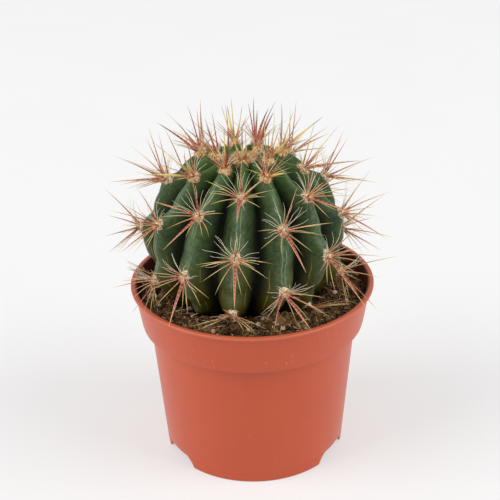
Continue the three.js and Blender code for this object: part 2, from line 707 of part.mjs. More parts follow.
const grown = growSpines();
const spinesOf = (n) => grown.filter((spine) => spine.n === n);
group.add(named('crown', crownSolid(spinesOf(CROWN)), 0xc9a06a, 0.8));
for (let n = CROWN_AREOLES; n < AREOLES; n++) {
  const name = `areole_${String(n).padStart(2, '0')}`;
  group.add(named(name, areoleSolid(n, spinesOf(n)), 0xc98f6b, 0.7));
}

export default group;
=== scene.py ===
# %% [markdown]
# # A round cactus in a nursery pot
#
# The part is already packed as plain solids: a pot, a plug of soil, a ribbed stem, a woolly
# crown and one faceted body for each areole with its spines. Here every one of them gets a finer
# mesh of the same form, and a finish that looks like plastic, peat, living skin, felt or spine.
# The imported solids load first, and their box is kept and printed again at the end.

# %% Load the imported part
import bpy
import json
import math
import numpy as np
from mathutils import Matrix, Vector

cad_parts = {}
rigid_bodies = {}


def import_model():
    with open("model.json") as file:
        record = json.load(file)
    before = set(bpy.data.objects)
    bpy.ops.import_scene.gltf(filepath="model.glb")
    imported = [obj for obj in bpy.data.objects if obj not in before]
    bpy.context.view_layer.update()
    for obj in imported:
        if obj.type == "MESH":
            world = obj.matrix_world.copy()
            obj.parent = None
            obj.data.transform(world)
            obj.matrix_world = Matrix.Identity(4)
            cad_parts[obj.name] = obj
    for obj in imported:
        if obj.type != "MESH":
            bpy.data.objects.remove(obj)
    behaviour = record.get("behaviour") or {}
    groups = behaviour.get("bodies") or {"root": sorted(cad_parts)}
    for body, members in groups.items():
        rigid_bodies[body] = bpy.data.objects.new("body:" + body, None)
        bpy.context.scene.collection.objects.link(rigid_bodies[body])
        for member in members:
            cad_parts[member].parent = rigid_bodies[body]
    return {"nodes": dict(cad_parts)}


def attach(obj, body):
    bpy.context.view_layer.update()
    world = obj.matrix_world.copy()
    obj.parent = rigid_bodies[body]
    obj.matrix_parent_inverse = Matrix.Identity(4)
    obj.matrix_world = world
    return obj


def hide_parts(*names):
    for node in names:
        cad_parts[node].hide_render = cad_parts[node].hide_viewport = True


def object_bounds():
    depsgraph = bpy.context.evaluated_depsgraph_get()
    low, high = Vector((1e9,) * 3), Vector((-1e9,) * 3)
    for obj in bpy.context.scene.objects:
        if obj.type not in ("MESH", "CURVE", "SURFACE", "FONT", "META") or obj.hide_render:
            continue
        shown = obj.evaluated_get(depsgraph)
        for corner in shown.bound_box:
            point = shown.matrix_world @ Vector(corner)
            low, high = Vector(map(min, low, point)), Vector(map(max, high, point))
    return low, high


for thing in list(bpy.data.objects):
    bpy.data.objects.remove(thing)
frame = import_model()
CAD_BOX = [list(corner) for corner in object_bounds()]
print("packed nodes:", len(frame["nodes"]), "box:", CAD_BOX)

# %% [markdown]
# ## Sizes
#
# The same named sizes as in the part's source, in millimetres, because the plant's own rule
# places everything on it. Meshes are scaled to metres when they are made. FULL_TURN is a turn in
# radians, rounded, for angles that chance decides anyway.

# %% Sizes of the pot and the soil
MM = 0.001
DEG = math.pi / 180
FULL_TURN = 6.28
GAP = 0.3
POT_HEIGHT, RIM_RADIUS, LIP_HEIGHT = 90.3, 60.0, 1.9
COLLAR_HEIGHT, COLLAR_TOP_RADIUS, COLLAR_FOOT_RADIUS = 21.2, 58.3, 55.1
BODY_TOP_RADIUS, FOOT_RADIUS, WALL, FLOOR_HEIGHT = 51.2, 45.1, 1.3, 6.2
COLLAR_BASE = POT_HEIGHT - COLLAR_HEIGHT
FEET, NOTCH_HEIGHT, NOTCH_WIDTH, NOTCH_AZIMUTH = 3, 5.2, 25.0, 61.0
DRAINS, DRAIN_RADIUS, DRAIN_CIRCLE = 6, 3.5, 33.0
SOIL_AT_WALL, SOIL_HEAP, FRONT_HEAP, FRONT_HEAP_POWER = 83.5, 3.0, 4.0, 16
HEAP_RADIUS, HEAP_WIDTH, SOIL_LUMP = 55.0, 14.0, 0.5
print("pot:", POT_HEIGHT, "mm high,", 2 * RIM_RADIUS, "mm across its lip")

# %% Sizes of the plant
RIBS, STEM_X, STEM_LEAN, STEM_RADIUS = 13, -3.4, 0.028, 48.5
EQUATOR, CROWN_RISE, CROWN_POWER = 116.4, 42.8, 1.75
BASE_DROP, BASE_POWER = 42.0, 2.3
SOIL_LINE, BURIED, RIB_DEPTH, RIB_POWER, RIB_ONSET = 89.0, 3.0, 10.5, 1.9, 0.6
FRONT_RIB, RIB_TWIST, TWIST_ARC = -4.6 * DEG, -6 * DEG, 60.0
DIMPLE, DIMPLE_RADIUS, ROOT_TIP = 5.0, 12.0, 66.0
FOOT_TAPER, FOOT_NARROWING, FOOT_CURVE = 79.5, 0.72, 0.8
RIB_STEP, FIRST_ARC, ARC_STEP, ARC_GROWTH = 5, 8.6, 1.88, 0.0068
CROWN_AREOLES, WOOL_RADIUS, WOOL_EDGE, WOOL_MIDDLE, AREOLES = 2, 7.5, 4.4, 2.6, 43
CUSHION_WIDTH, CUSHION_LENGTH, CUSHION_HEIGHT, YOUNG_WIDER = 2.1, 2.6, 2.4, 0.4
OLDEST, WORN = 4, 0.9
SWELLING, SWELLING_LENGTH = 1.4, 7.0
NICK, NICK_LENGTH, NICK_ABOVE = 1.8, 4.5, 9.5
CROWN_TOP = EQUATOR + CROWN_RISE
print("stem:", 2 * STEM_RADIUS, "mm across,", RIBS, "ribs and", AREOLES, "areoles")

# %% [markdown]
# ## The crest line and the ribs
#
# The stem is a globe whose outline from the apex down is one crest line. A rib runs down along
# it 13 times, and the skin falls back between the ribs by a power of the distance across. The
# areoles sit on the crests in a spiral: the next one is always 5 ribs further on and a little
# lower. These few formulas place the skin, the felt and each spine, so nothing is placed by eye.

# %% The crest line
CREST_STEPS, CREST_END = 240, 0.97


def crest_line():
    """The outline from the apex to below the soil: arc, radius and height of its points."""
    t = math.pi / 2 - math.pi * CREST_END * np.arange(CREST_STEPS + 1) / CREST_STEPS
    rise = np.where(t >= 0, CROWN_RISE, BASE_DROP)
    power = np.where(t >= 0, CROWN_POWER, BASE_POWER)
    z = EQUATOR + rise * np.sin(t)
    radius = STEM_RADIUS * np.sqrt(np.maximum(0, 1 - np.abs(np.sin(t)) ** power))
    arc = np.concatenate([[0], np.cumsum(np.hypot(np.diff(radius), np.diff(z)))])
    return arc, radius, z


ARCS, CREST_RADII, CREST_HEIGHTS = crest_line()
SLOPE_R = np.gradient(CREST_RADII, ARCS)
SLOPE_Z = np.gradient(CREST_HEIGHTS, ARCS)
SLOPE = np.hypot(SLOPE_R, SLOPE_Z)
OUT_R, OUT_Z = -SLOPE_Z / SLOPE, SLOPE_R / SLOPE
print("crest line:", round(float(ARCS[-1]), 1), "mm from the apex to the root")

# %% Places on the crest line
def crest_at(arc):
    """Radius, height and the outward direction on the crest line."""
    return [np.interp(arc, ARCS, row) for row in (CREST_RADII, CREST_HEIGHTS, OUT_R, OUT_Z)]


def arc_at_height(z):
    """How far down the crest line a height lies."""
    return np.interp(-np.asarray(z, float), -CREST_HEIGHTS, ARCS)


def axis_y(z):
    """The stem leans a little to the front, so its middle moves with the height."""
    return -STEM_LEAN * (z - SOIL_LINE)


def crest_azimuth(rib, arc):
    """The direction of a rib's crest, which turns slowly on its way down."""
    return FRONT_RIB + rib * 2 * math.pi / RIBS + RIB_TWIST * (arc - TWIST_ARC) / TWIST_ARC


def rib_of(n):
    """The rib of an areole, each one 5 ribs on from the last."""
    return (RIB_STEP * n) % RIBS


def arc_of(n):
    """How far down the crest an areole stands."""
    return FIRST_ARC + ARC_STEP * n + ARC_GROWTH * n * n


print("the oldest areole stands", round(arc_of(AREOLES - 1), 1), "mm down its rib")

# %% The skin between the crests
def crest_relief(rib, arc):
    """How far the crest stands out at the areoles and in above them, down into the soil."""
    relief = np.zeros(np.broadcast(rib, arc).shape)
    for n in range(AREOLES + RIBS):
        below = arc - arc_of(n)
        bump = SWELLING * np.exp(-(((below - 1) / SWELLING_LENGTH) ** 2))
        bump = bump - NICK * np.exp(-(((below + NICK_ABOVE) / NICK_LENGTH) ** 2))
        relief += np.where(rib == rib_of(n), bump, 0)
    return relief


def skin(arc, azimuth):
    """The parts of the skin's shape at places of it, for arrays of any one shape."""
    radius, z, out_r, out_z = crest_at(arc)
    turn = (azimuth - crest_azimuth(0, arc)) / (2 * math.pi / RIBS)
    nearest = np.floor(turn + 0.5)
    side = (turn - nearest) * 2
    grown = np.minimum(1, radius / STEM_RADIUS) ** RIB_ONSET
    buried = np.clip((z - SOIL_LINE + BURIED) / BURIED, 0, 1)
    relief = crest_relief(nearest.astype(int) % RIBS, arc) * grown * buried
    dimple = DIMPLE * np.maximum(0, 1 - (radius / DIMPLE_RADIUS) ** 2)
    return radius, z, out_r, out_z, side, grown, relief, dimple


def place(radius, azimuth, z):
    """A point round the leaning axis. Azimuth 0 faces the camera."""
    return np.stack([STEM_X + radius * np.sin(azimuth),
                     axis_y(z) - radius * np.cos(azimuth), z + 0 * radius], -1)


def stem_point(arc, azimuth, lift=0.0):
    """A point of the ribbed skin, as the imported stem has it."""
    arc, azimuth, lift = np.broadcast_arrays(np.asarray(arc, float), azimuth, lift)
    radius, z, out_r, out_z, side, grown, relief, dimple = skin(arc, azimuth)
    furrow = RIB_DEPTH * grown * np.abs(side) ** RIB_POWER
    out = relief * (1 - side * side) - furrow + lift
    return place(radius + out * out_r, azimuth, z + out * out_z - dimple)


print("apex of the skin:", stem_point(0, 0.0).round(1))

# %% Where the areoles stand
def areole_frame(n):
    """Where an areole stands, with the directions out of the skin, to the apex and right."""
    arc = arc_of(n)
    azimuth = crest_azimuth(rib_of(n), arc)
    _, _, out_r, out_z = crest_at(arc)
    out = np.array([out_r * math.sin(azimuth), -out_r * math.cos(azimuth), out_z])
    up = np.array([-out_z * math.sin(azimuth), out_z * math.cos(azimuth), out_r])
    return {"n": n, "arc": arc, "azimuth": azimuth, "at": stem_point(arc, azimuth),
            "out": out, "up": up, "right": np.cross(up, out)}


FRAMES = [areole_frame(n) for n in range(AREOLES)]
print("areoles:", AREOLES, "the youngest at", FRAMES[0]["at"].round(1))

# %% [markdown]
# ## Helpers for meshes and node trees
#
# A node tree is easier to read as arithmetic than as a list of links. The class below wraps one
# socket and lets Python's operators add the Math nodes, in material trees and in geometry trees
# alike. Every other node comes from one method, which sets its settings first and then its
# sockets, either to a value or to a link.

# %% Arithmetic on sockets
class Val:
    """One output of a node. Arithmetic on it adds the Math node that does it."""

    def __init__(self, graph, node, socket):
        self.graph, self.node, self.socket = graph, node, socket

    def out(self, name):
        """Another output of the same node."""
        return Val(self.graph, self.node, self.node.outputs[name])

    def math(self, operation, *others):
        """This value first, then the others."""
        sockets = {i: value for i, value in enumerate((self, *others))}
        return self.graph.add("ShaderNodeMath", {"operation": operation}, sockets)

    def swapped(self, operation, other):
        """The other value first, for a number that stands on the left."""
        return self.graph.add("ShaderNodeMath", {"operation": operation}, {0: other, 1: self})

    def __add__(self, other):
        return self.math("ADD", other)

    def __sub__(self, other):
        return self.math("SUBTRACT", other)

    def __mul__(self, other):
        return self.math("MULTIPLY", other)

    def __pow__(self, other):
        return self.math("POWER", other)

    def __radd__(self, other):
        return self.swapped("ADD", other)

    def __rsub__(self, other):
        return self.swapped("SUBTRACT", other)

    def __rmul__(self, other):
        return self.swapped("MULTIPLY", other)

    def between(self, low, high):
        """0 below low, 1 above high, and smooth in between."""
        return self.graph.add("ShaderNodeMapRange", {"interpolation_type": "SMOOTHSTEP"},
                              {"Value": self, "From Min": low, "From Max": high})


print("sockets can be added, subtracted, multiplied and raised to a power")

# %% One method for every other node
class Graph:
    """A node tree that is built in code."""

    def __init__(self, tree):
        self.tree = tree
        tree.nodes.clear()

    def add(self, kind, settings=None, sockets=None, out=0):
        """Adds a node: first its settings, then the values or links of its sockets."""
        node = self.tree.nodes.new(kind)
        for key, value in (settings or {}).items():
            if key == "stops":
                self.set_stops(node.color_ramp, value)
            else:
                setattr(node, key, value)
        for key, value in (sockets or {}).items():
            if isinstance(value, Val):
                self.tree.links.new(value.socket, node.inputs[key])
            else:
                node.inputs[key].default_value = value
        return Val(self, node, node.outputs[out] if len(node.outputs) else None)

    @staticmethod
    def set_stops(ramp, stops):
        """Gives a colour ramp its stops, each a position and a colour."""
        while len(ramp.elements) < len(stops):
            ramp.elements.new(1.0)
        for element, (position, colour) in zip(ramp.elements, stops):
            element.position = position
            element.color = colour

    def mix(self, factor, a, b):
        """Two colours mixed by a value or a number."""
        return self.add("ShaderNodeMix", {"data_type": "RGBA"}, {0: factor, 6: a, 7: b}, out=2)

    def vector(self, operation, a, b):
        """Two vectors combined."""
        return self.add("ShaderNodeVectorMath", {"operation": operation}, {0: a, 1: b})

    def scaled(self, vector, factor):
        """A vector made longer or shorter."""
        return self.add("ShaderNodeVectorMath", {"operation": "SCALE"},
                        {0: vector, "Scale": factor})


print("one method adds every other node")

# %% Colours, noise and the finish itself
def srgb(red, green, blue):
    """A colour given as it looks on a screen, 0 to 255, as the linear one that nodes use."""
    return tuple(((c / 255 + 0.055) / 1.055) ** 2.4 if c > 10 else c / 255 / 12.92
                 for c in (red, green, blue)) + (1.0,)


class Finish(Graph):
    """A material with one Principled shader, patterned on the object's own coordinates."""

    def __init__(self, name, **fixed):
        self.material = bpy.data.materials.new(name)
        self.material.use_nodes = True
        super().__init__(self.material.node_tree)
        self.shader = self.add("ShaderNodeBsdfPrincipled", None, fixed)
        self.add("ShaderNodeOutputMaterial", None, {"Surface": self.shader})
        self.coords = self.add("ShaderNodeTexCoord", out="Object")

    def noise(self, size, detail=4.0, rough=0.55, stretch=None, **more):
        """Cloudy noise from 0 to 1, with spots of about this size in millimetres."""
        coords = self.coords
        if stretch:
            coords = self.add("ShaderNodeMapping", None, {"Vector": coords, "Scale": stretch})
        return self.add("ShaderNodeTexNoise", None,
                        {"Vector": coords, "Scale": 1 / (size * MM), "Detail": detail,
                         "Roughness": rough, **more})

    def attribute(self, name):
        """A value that is kept on the points of the mesh."""
        return self.add("ShaderNodeAttribute", {"attribute_name": name}, out="Fac")

    def paint(self, **sockets):
        """Links what varies over the surface to the shader's sockets."""
        for name, value in sockets.items():
            self.tree.links.new(value.socket, self.shader.node.inputs[name.replace("_", " ")])

    def bump(self, height, depth):
        """Turns a height from 0 to 1 into relief that is so many millimetres deep."""
        self.paint(Normal=self.add("ShaderNodeBump", None,
                                   {"Height": height, "Distance": depth * MM}))


print("a finish can have noise, attributes, paint and bump")

# %% Objects from points
def new_object(name, points, faces, material=None, smooth=True, values=None, edges=()):
    """An object from points in millimetres, with optional values for each point."""
    mesh = bpy.data.meshes.new(name)
    mesh.from_pydata((np.asarray(points, float) * MM).tolist(), list(edges), faces)
    for key, column in (values or {}).items():
        layer = mesh.attributes.new(key, "FLOAT", "POINT")
        layer.data.foreach_set("value", np.asarray(column, np.float32).ravel())
    mesh.polygons.foreach_set("use_smooth", [smooth] * len(mesh.polygons))
    if material:
        mesh.materials.append(material)
    thing = bpy.data.objects.new(name, mesh)
    bpy.context.scene.collection.objects.link(thing)
    return thing


print("an object can be made from points and faces")

# %% Rings of points as closed skins
def ring_faces(rows, count, first=0):
    """Faces between closed rings of points, for rings that run down and turn to the right."""
    i = np.arange(count)
    j = (i + 1) % count
    faces = []
    for row in range(rows - 1):
        a, b = first + row * count, first + (row + 1) * count
        faces += np.stack([a + i, b + i, b + j, a + j], -1).tolist()
    return faces


def closed_rings(rings, top, bottom):
    """Points and faces of a closed skin: a top pole, rings and a bottom pole."""
    rings = np.asarray(rings)
    rows, count = rings.shape[:2]
    points = np.concatenate([[top], rings.reshape(-1, 3), [bottom]])
    faces = ring_faces(rows, count, 1)
    last = len(points) - 1
    for i in range(count):
        j = (i + 1) % count
        faces.append([0, 1 + i, 1 + j])
        faces.append([last - count + i, last, last - count + j])
    return points, faces


def joined(shapes):
    """Many closed shapes as one mesh: its points, its faces and each point's shape number."""
    points, faces, owner = [], [], []
    for number, (shape, shape_faces) in enumerate(shapes):
        faces += [[index + len(points) for index in face] for face in shape_faces]
        points += shape.tolist()
        owner += [number] * len(shape)
    return points, faces, np.array(owner)


print("two rings of 8 points have", len(ring_faces(2, 8)), "faces between them")

# %% The start and the end of a geometry tree
def geometry_graph(name, inputs):
    """A geometry tree with a mesh going in and out, and named inputs with their defaults."""
    tree = bpy.data.node_groups.new(name, "GeometryNodeTree")
    graph = Graph(tree)
    face = tree.interface
    face.new_socket("Geometry", in_out="INPUT", socket_type="NodeSocketGeometry")
    kinds = {float: "NodeSocketFloat", int: "NodeSocketInt"}
    for label, value in inputs.items():
        socket = face.new_socket(label, in_out="INPUT", socket_type=kinds[type(value)])
        socket.default_value = value
    face.new_socket("Geometry", in_out="OUTPUT", socket_type="NodeSocketGeometry")
    return graph, graph.add("NodeGroupInput")


def named(graph, name, kind="FLOAT"):
    """A value that the mesh going into a tree keeps on its points."""
    return graph.add("GeometryNodeInputNamedAttribute", {"data_type": kind}, {"Name": name})


def close_graph(graph, geometry, material):
    """Ends a tree: real geometry, not instances, with the finish on it."""
    real = graph.add("GeometryNodeRealizeInstances", None, {"Geometry": geometry})
    done = graph.add("GeometryNodeSetMaterial", None, {"Geometry": real, "Material": material})
    graph.add("NodeGroupOutput", None, {"Geometry": done})


print("a tree can be opened and closed")

# %% Parts that trees share
def scattered(graph, source):
    """Points strewn over a surface, as many as the tree's own density says."""
    return graph.add("GeometryNodeDistributePointsOnFaces", {"distribute_method": "RANDOM"},
                     {"Mesh": source, "Density": source.out("Density"),
                      "Seed": source.out("Seed")})


def random_value(graph, low, high, seed):
    """A random number for each copy. The node keeps one pair of sockets for each kind of value:
    2 and 3 are the ends for a number, and output 1 is that number."""
    return graph.add("FunctionNodeRandomValue", {"data_type": "FLOAT"},
                     {2: low, 3: high, "Seed": seed}, out=1)


def random_turn(graph, low, high, seed):
    """A random rotation for each copy, between two sets of angles."""
    return graph.add("FunctionNodeRandomValue", {"data_type": "FLOAT_VECTOR"},
                     {0: low, 1: high, "Seed": seed})


def toned(graph, copies, seed):
    """Gives each copy a tone of its own, from 0 to 1, that the paint reads."""
    return graph.add("GeometryNodeStoreNamedAttribute",
                     {"data_type": "FLOAT", "domain": "INSTANCE"},
                     {"Geometry": copies, "Name": "tone",
                      "Value": random_value(graph, 0.0, 1.0, seed)})


print("trees share their strewing, sizes, turns and tones")

# %% Apply a tree, and hand on a piece
def keep_result(thing):
    """Keeps what the modifiers of an object make of it as its plain mesh."""
    bpy.context.view_layer.update()
    depsgraph = bpy.context.evaluated_depsgraph_get()
    mesh = bpy.data.meshes.new_from_object(thing.evaluated_get(depsgraph),
                                           preserve_all_data_layers=True, depsgraph=depsgraph)
    thing.modifiers.clear()
    thing.data = mesh


def apply_graph(thing, graph, material, **values):
    """Runs a geometry tree on an object and keeps the result as its plain mesh."""
    modifier = thing.modifiers.new(graph.tree.name, "NODES")
    modifier.node_group = graph.tree
    for item in graph.tree.interface.items_tree:
        label = item.name.lower().replace(" ", "_")
        if item.in_out == "INPUT" and label in values:
            modifier[item.identifier] = values[label]
    keep_result(thing)
    thing.data.materials.clear()
    thing.data.materials.append(material)
    return thing


def triangles(thing):
    """How many triangles the faces of a piece come to."""
    return sum(len(face.vertices) - 2 for face in thing.data.polygons)


def finish_piece(thing, slot, *nodes):
    """Says what a piece rides on and which solids it replaces. The slot is not used."""
    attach(thing, "root")
    if nodes:
        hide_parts(*nodes)
    print(thing.name, triangles(thing), "triangles")


print("a tree's result can be kept and handed on as a piece")

# %% [markdown]
# ## Camera, floor and light
#
# The camera stands where the photograph was taken from: 63 cm from the plant, looking down by
# 26 degrees through a long lens. The floor is a light table, a pale sheet that also glows a
# little from below, so shadows stay faint as in a product picture. Two broad lamps, high at both
# sides and a little in front, give the soft light of a small studio. Camera and lamps both look
# along their own backward axis, so one helper turns and places them.

# %% Standing a camera or a lamp
def stand(thing, right, up, back, place_mm):
    """Turns a thing to three directions, puts it at its place and adds it to the scene."""
    turn = np.eye(4)
    turn[:3, 0], turn[:3, 1], turn[:3, 2] = right, up, back
    turn[:3, 3] = np.array(place_mm, float) * MM
    thing.matrix_world = Matrix(turn.tolist())
    bpy.context.scene.collection.objects.link(thing)


print("camera and lamps can be placed")

# %% Camera
CAMERA_DISTANCE, CAMERA_ELEVATION, CAMERA_ROLL = 628.83, 26.387, -1.059
CAMERA_AIM = np.array([-0.815, 0.0, 105.761])
FOCAL_PIXELS, IMAGE_SIZE, SENSOR = 1284.12, 500, 36.0
NEAREST_SEEN, FARTHEST_SEEN = 0.01, 50


def camera_axes():
    """Right, up and forward of the camera, in the object's own frame."""
    e, r = CAMERA_ELEVATION * DEG, CAMERA_ROLL * DEG
    forward = np.array([0, math.cos(e), -math.sin(e)])
    level = np.array([1.0, 0, 0])
    rise = np.cross(level, forward)
    right = math.cos(r) * level + math.sin(r) * rise
    up = -math.sin(r) * level + math.cos(r) * rise
    return right, up, forward


RIGHT, UP, FORWARD = camera_axes()
EYE = CAMERA_AIM - CAMERA_DISTANCE * FORWARD
lens = bpy.data.cameras.new("camera")
lens.sensor_width = SENSOR
lens.lens = FOCAL_PIXELS * SENSOR / IMAGE_SIZE
lens.clip_start, lens.clip_end = NEAREST_SEEN, FARTHEST_SEEN
camera = bpy.data.objects.new("camera", lens)
stand(camera, RIGHT, UP, -FORWARD, EYE)
bpy.context.scene.camera = camera
print("camera at", (EYE * MM).round(3), "lens", round(lens.lens, 1), "mm")


def pixel_ray(x, y):
    """The direction that a pixel of the photograph looks along."""
    middle = IMAGE_SIZE / 2
    ray = FORWARD + RIGHT * (x - middle) / FOCAL_PIXELS - UP * (y - middle) / FOCAL_PIXELS
    return ray / np.linalg.norm(ray)


# %% Floor
FLOOR_REACH = 4000
paper = Finish("pale_sheet", **{"Roughness": 0.9, "Specular IOR Level": 0.2,
                                "Emission Color": (1, 1, 1, 1), "Emission Strength": 0.43})
clouds = paper.noise(90, 2.0)
paper.paint(Base_Color=paper.mix(clouds, srgb(178, 178, 178), srgb(183, 183, 183)))
paper.bump(paper.noise(0.8, 3.0), 0.02)
corners = [(x * FLOOR_REACH, y * FLOOR_REACH, 0) for x, y in ((-1, -1), (1, -1), (1, 1), (-1, 1))]
floor = new_object("floor", corners, [[0, 1, 2, 3]], paper.material, smooth=False)
print("floor laid,", 2 * FLOOR_REACH, "mm across")

# %% Light
LAMP_ASIDE, LAMP_AHEAD, LAMP_HEIGHT, LIT_HEIGHT = 2950, -1000, 2500, 110
LAMP_WIDTH, LAMP_LENGTH, LEFT_POWER, RIGHT_POWER = 2.6, 3.0, 97, 87
ROOM_LIGHT = 0.50


def lamp(name, aside, power):
    """A broad soft lamp that is turned to the plant."""
    light = bpy.data.lights.new(name, "AREA")
    light.shape = "RECTANGLE"
    light.size, light.size_y = LAMP_WIDTH, LAMP_LENGTH
    light.energy = power
    back = np.array([aside, LAMP_AHEAD, LAMP_HEIGHT - LIT_HEIGHT], float)
    back /= np.linalg.norm(back)
    side = np.cross([0, 0, 1.0], back)
    side /= np.linalg.norm(side)
    stand(bpy.data.objects.new(name, light), side, np.cross(back, side), back,
          (aside, LAMP_AHEAD, LAMP_HEIGHT))


lamp("lamp_left", -LAMP_ASIDE, LEFT_POWER)
lamp("lamp_right", LAMP_ASIDE, RIGHT_POWER)
world = bpy.data.worlds.new("studio")
world.use_nodes = True
studio = Graph(world.node_tree)
sky = studio.add("ShaderNodeBackground", None, {"Color": (1, 1, 1, 1), "Strength": ROOM_LIGHT})
studio.add("ShaderNodeOutputWorld", None, {"Surface": sky})
bpy.context.scene.world = world
bpy.context.scene.view_settings.view_transform = "Standard"
print("two lamps and a bright room")

# %% [markdown]
# ## The pot's plastic
#
# Nursery pots are injection moulded from coloured polypropylene. The colour is even, but the
# surface is no mirror: it has a fine grain from the mould and faint flow marks up the wall. Pots
# rub in their stack, so the collar has the most scuffs. The lip is painted paler as a highlight.
# The inside wall is painted dark, partly stained by damp soil and partly as painted shade under
# the rim. An image could show all this, but it would need to be unwrapped and drawn. Height and
# distance from the axis say as well where each mark belongs.

# %% Plastic, and where its marks are
plastic = Finish("terracotta_plastic", **{"IOR": 1.5, "Specular IOR Level": 0.5,
                                          "Coat Weight": 0.25, "Coat Roughness": 0.3})
flow = plastic.noise(9, 3.0, stretch=(1, 1, 0.18))
cloud = plastic.noise(26, 3.0)
grain = plastic.noise(0.35, 3.0)
spot = plastic.add("ShaderNodeSeparateXYZ", None, {0: plastic.coords}, out="X")
height = spot.out("Z")
on_collar = height.between(COLLAR_BASE * MM, (COLLAR_BASE + 2) * MM)
scratches = plastic.noise(1.2, 5.0, 0.7, stretch=(1, 1, 0.3))
scuffs = scratches.between(0.62, 0.72) * (0.25 + on_collar * 0.75)
from_axis = (spot * spot + spot.out("Y") * spot.out("Y")) ** 0.5
slope = (COLLAR_TOP_RADIUS - COLLAR_FOOT_RADIUS) / (COLLAR_HEIGHT - LIP_HEIGHT)
wall_middle = (height - COLLAR_BASE * MM) * slope + (COLLAR_FOOT_RADIUS - WALL / 2) * MM
# Where the paint darkens the inside wall: partly stained by damp soil, partly painted shade under
# the rim.
inside = (wall_middle - from_axis).between(-0.3 * MM, 0.3 * MM)
inside = inside * height.between((COLLAR_BASE + 3) * MM, (COLLAR_BASE + 5) * MM)
soil_stain_and_shade = plastic.noise(4, 4.0, stretch=(1, 1, 0.4))
# Painted highlight: the lip, which the paint makes paler.
lip_highlight = height.between((POT_HEIGHT - LIP_HEIGHT) * MM, POT_HEIGHT * MM) * (1 - inside)
print("marks placed")

# %% The colours of the plastic
tone = plastic.mix(flow * 0.5 + cloud * 0.5, srgb(182, 63, 14), srgb(195, 75, 24))
# The inside wall painted dark: partly stained by damp soil, partly painted shade.
tone = plastic.mix(inside * (0.55 + soil_stain_and_shade * 0.4), tone, srgb(70, 34, 24))
# The lip painted paler as a painted highlight.
tone = plastic.mix(lip_highlight * 0.45, tone, srgb(206, 116, 88))
tone = plastic.mix(scuffs * 0.5, tone, srgb(226, 170, 146))
plastic.paint(Base_Color=tone,
              Roughness=0.35 + flow * 0.08 + grain * 0.05 + scuffs * 0.2 + inside * 0.25)
plastic.bump(grain * 0.35 + flow * 0.4 + scuffs * 0.5, 0.03)
print("plastic mixed")

# %% [markdown]
# ## The pot
#
# The pot is one thin shell of revolution, so it is an outline turned round an axis. The cut-outs
# between its feet break the symmetry. Cutting them with a Boolean would leave ragged shading, so
# the rings near the foot are simply lifted where a cut-out is. Extra points at the ends of each
# cut-out keep its corners crisp. Only the drain holes are cut, by a Boolean modifier.

# %% Radii of the wall
def body_radius(z):
    """The outside of the tapered body at a height."""
    return FOOT_RADIUS + (BODY_TOP_RADIUS - FOOT_RADIUS) * z / COLLAR_BASE


def collar_radius(z):
    """The outside of the collar at a height."""
    rise = (z - COLLAR_BASE) / (COLLAR_HEIGHT - LIP_HEIGHT)
    return COLLAR_FOOT_RADIUS + (COLLAR_TOP_RADIUS - COLLAR_FOOT_RADIUS) * rise


def arc_points(middle, size, start, end, count):
    """Points on a small round, as radius and height, between two angles in degrees."""
    turn = np.linspace(start, end, count) * DEG
    return [(middle[0] + size * math.cos(a), middle[1] + size * math.sin(a)) for a in turn]


print("the body is", round(body_radius(COLLAR_BASE), 1), "mm in radius under the collar")

# %% Outline of the wall
LIP = POT_HEIGHT - LIP_HEIGHT
GROOVE_HEIGHT, GROOVE_DEPTH, GROOVE_WIDTH = 6.4, 0.14, 0.8
STEP_ROUND, COLLAR_ROUND, LIP_ROUND, EDGE_ROUND, SHELF_ROUND = 0.8, 0.7, 0.65, 0.5, 0.6


def outside_profile():
    """The wall from the middle of its underside, round the foot and up to the lip's top."""
    inner, under = FOOT_RADIUS - WALL, FLOOR_HEIGHT - WALL
    profile = [(0, under), (20, under), (40, under), (inner + 0.35, under)]
    profile += [(inner + 0.2, 2.5), (inner, 0.25), (inner + 0.25, 0)]
    profile += [(FOOT_RADIUS - 0.3, 0), (FOOT_RADIUS, 0.3)]
    profile += [(body_radius(z), z) for z in (1.5, 3, 4.4)]
    for z in (5.2, 5.9, GROOVE_HEIGHT, 6.9, 7.6):
        groove = GROOVE_DEPTH * math.exp(-((z - GROOVE_HEIGHT) / GROOVE_WIDTH) ** 2)
        profile.append((body_radius(z) - groove, z))
    profile += [(body_radius(z), z) for z in (9, 16, 26, 38, 50, 60, 66)]
    corner = (body_radius(COLLAR_BASE) + STEP_ROUND, COLLAR_BASE - STEP_ROUND)
    profile += arc_points(corner, STEP_ROUND, 180, 90, 5)
    corner = (COLLAR_FOOT_RADIUS - COLLAR_ROUND, COLLAR_BASE + COLLAR_ROUND)
    profile += arc_points(corner, COLLAR_ROUND, -90, 0, 6)
    profile += [(collar_radius(z), z) for z in (71, 74, 79, 84, LIP - 0.8)]
    profile += arc_points((collar_radius(LIP) + EDGE_ROUND, LIP - 0.1), EDGE_ROUND, 180, 100, 4)
    profile += arc_points((RIM_RADIUS - LIP_ROUND, LIP + 0.95), LIP_ROUND, -70, 0, 5)
    return profile + arc_points((RIM_RADIUS - LIP_ROUND, POT_HEIGHT - LIP_ROUND),
                                LIP_ROUND, 0, 90, 6)


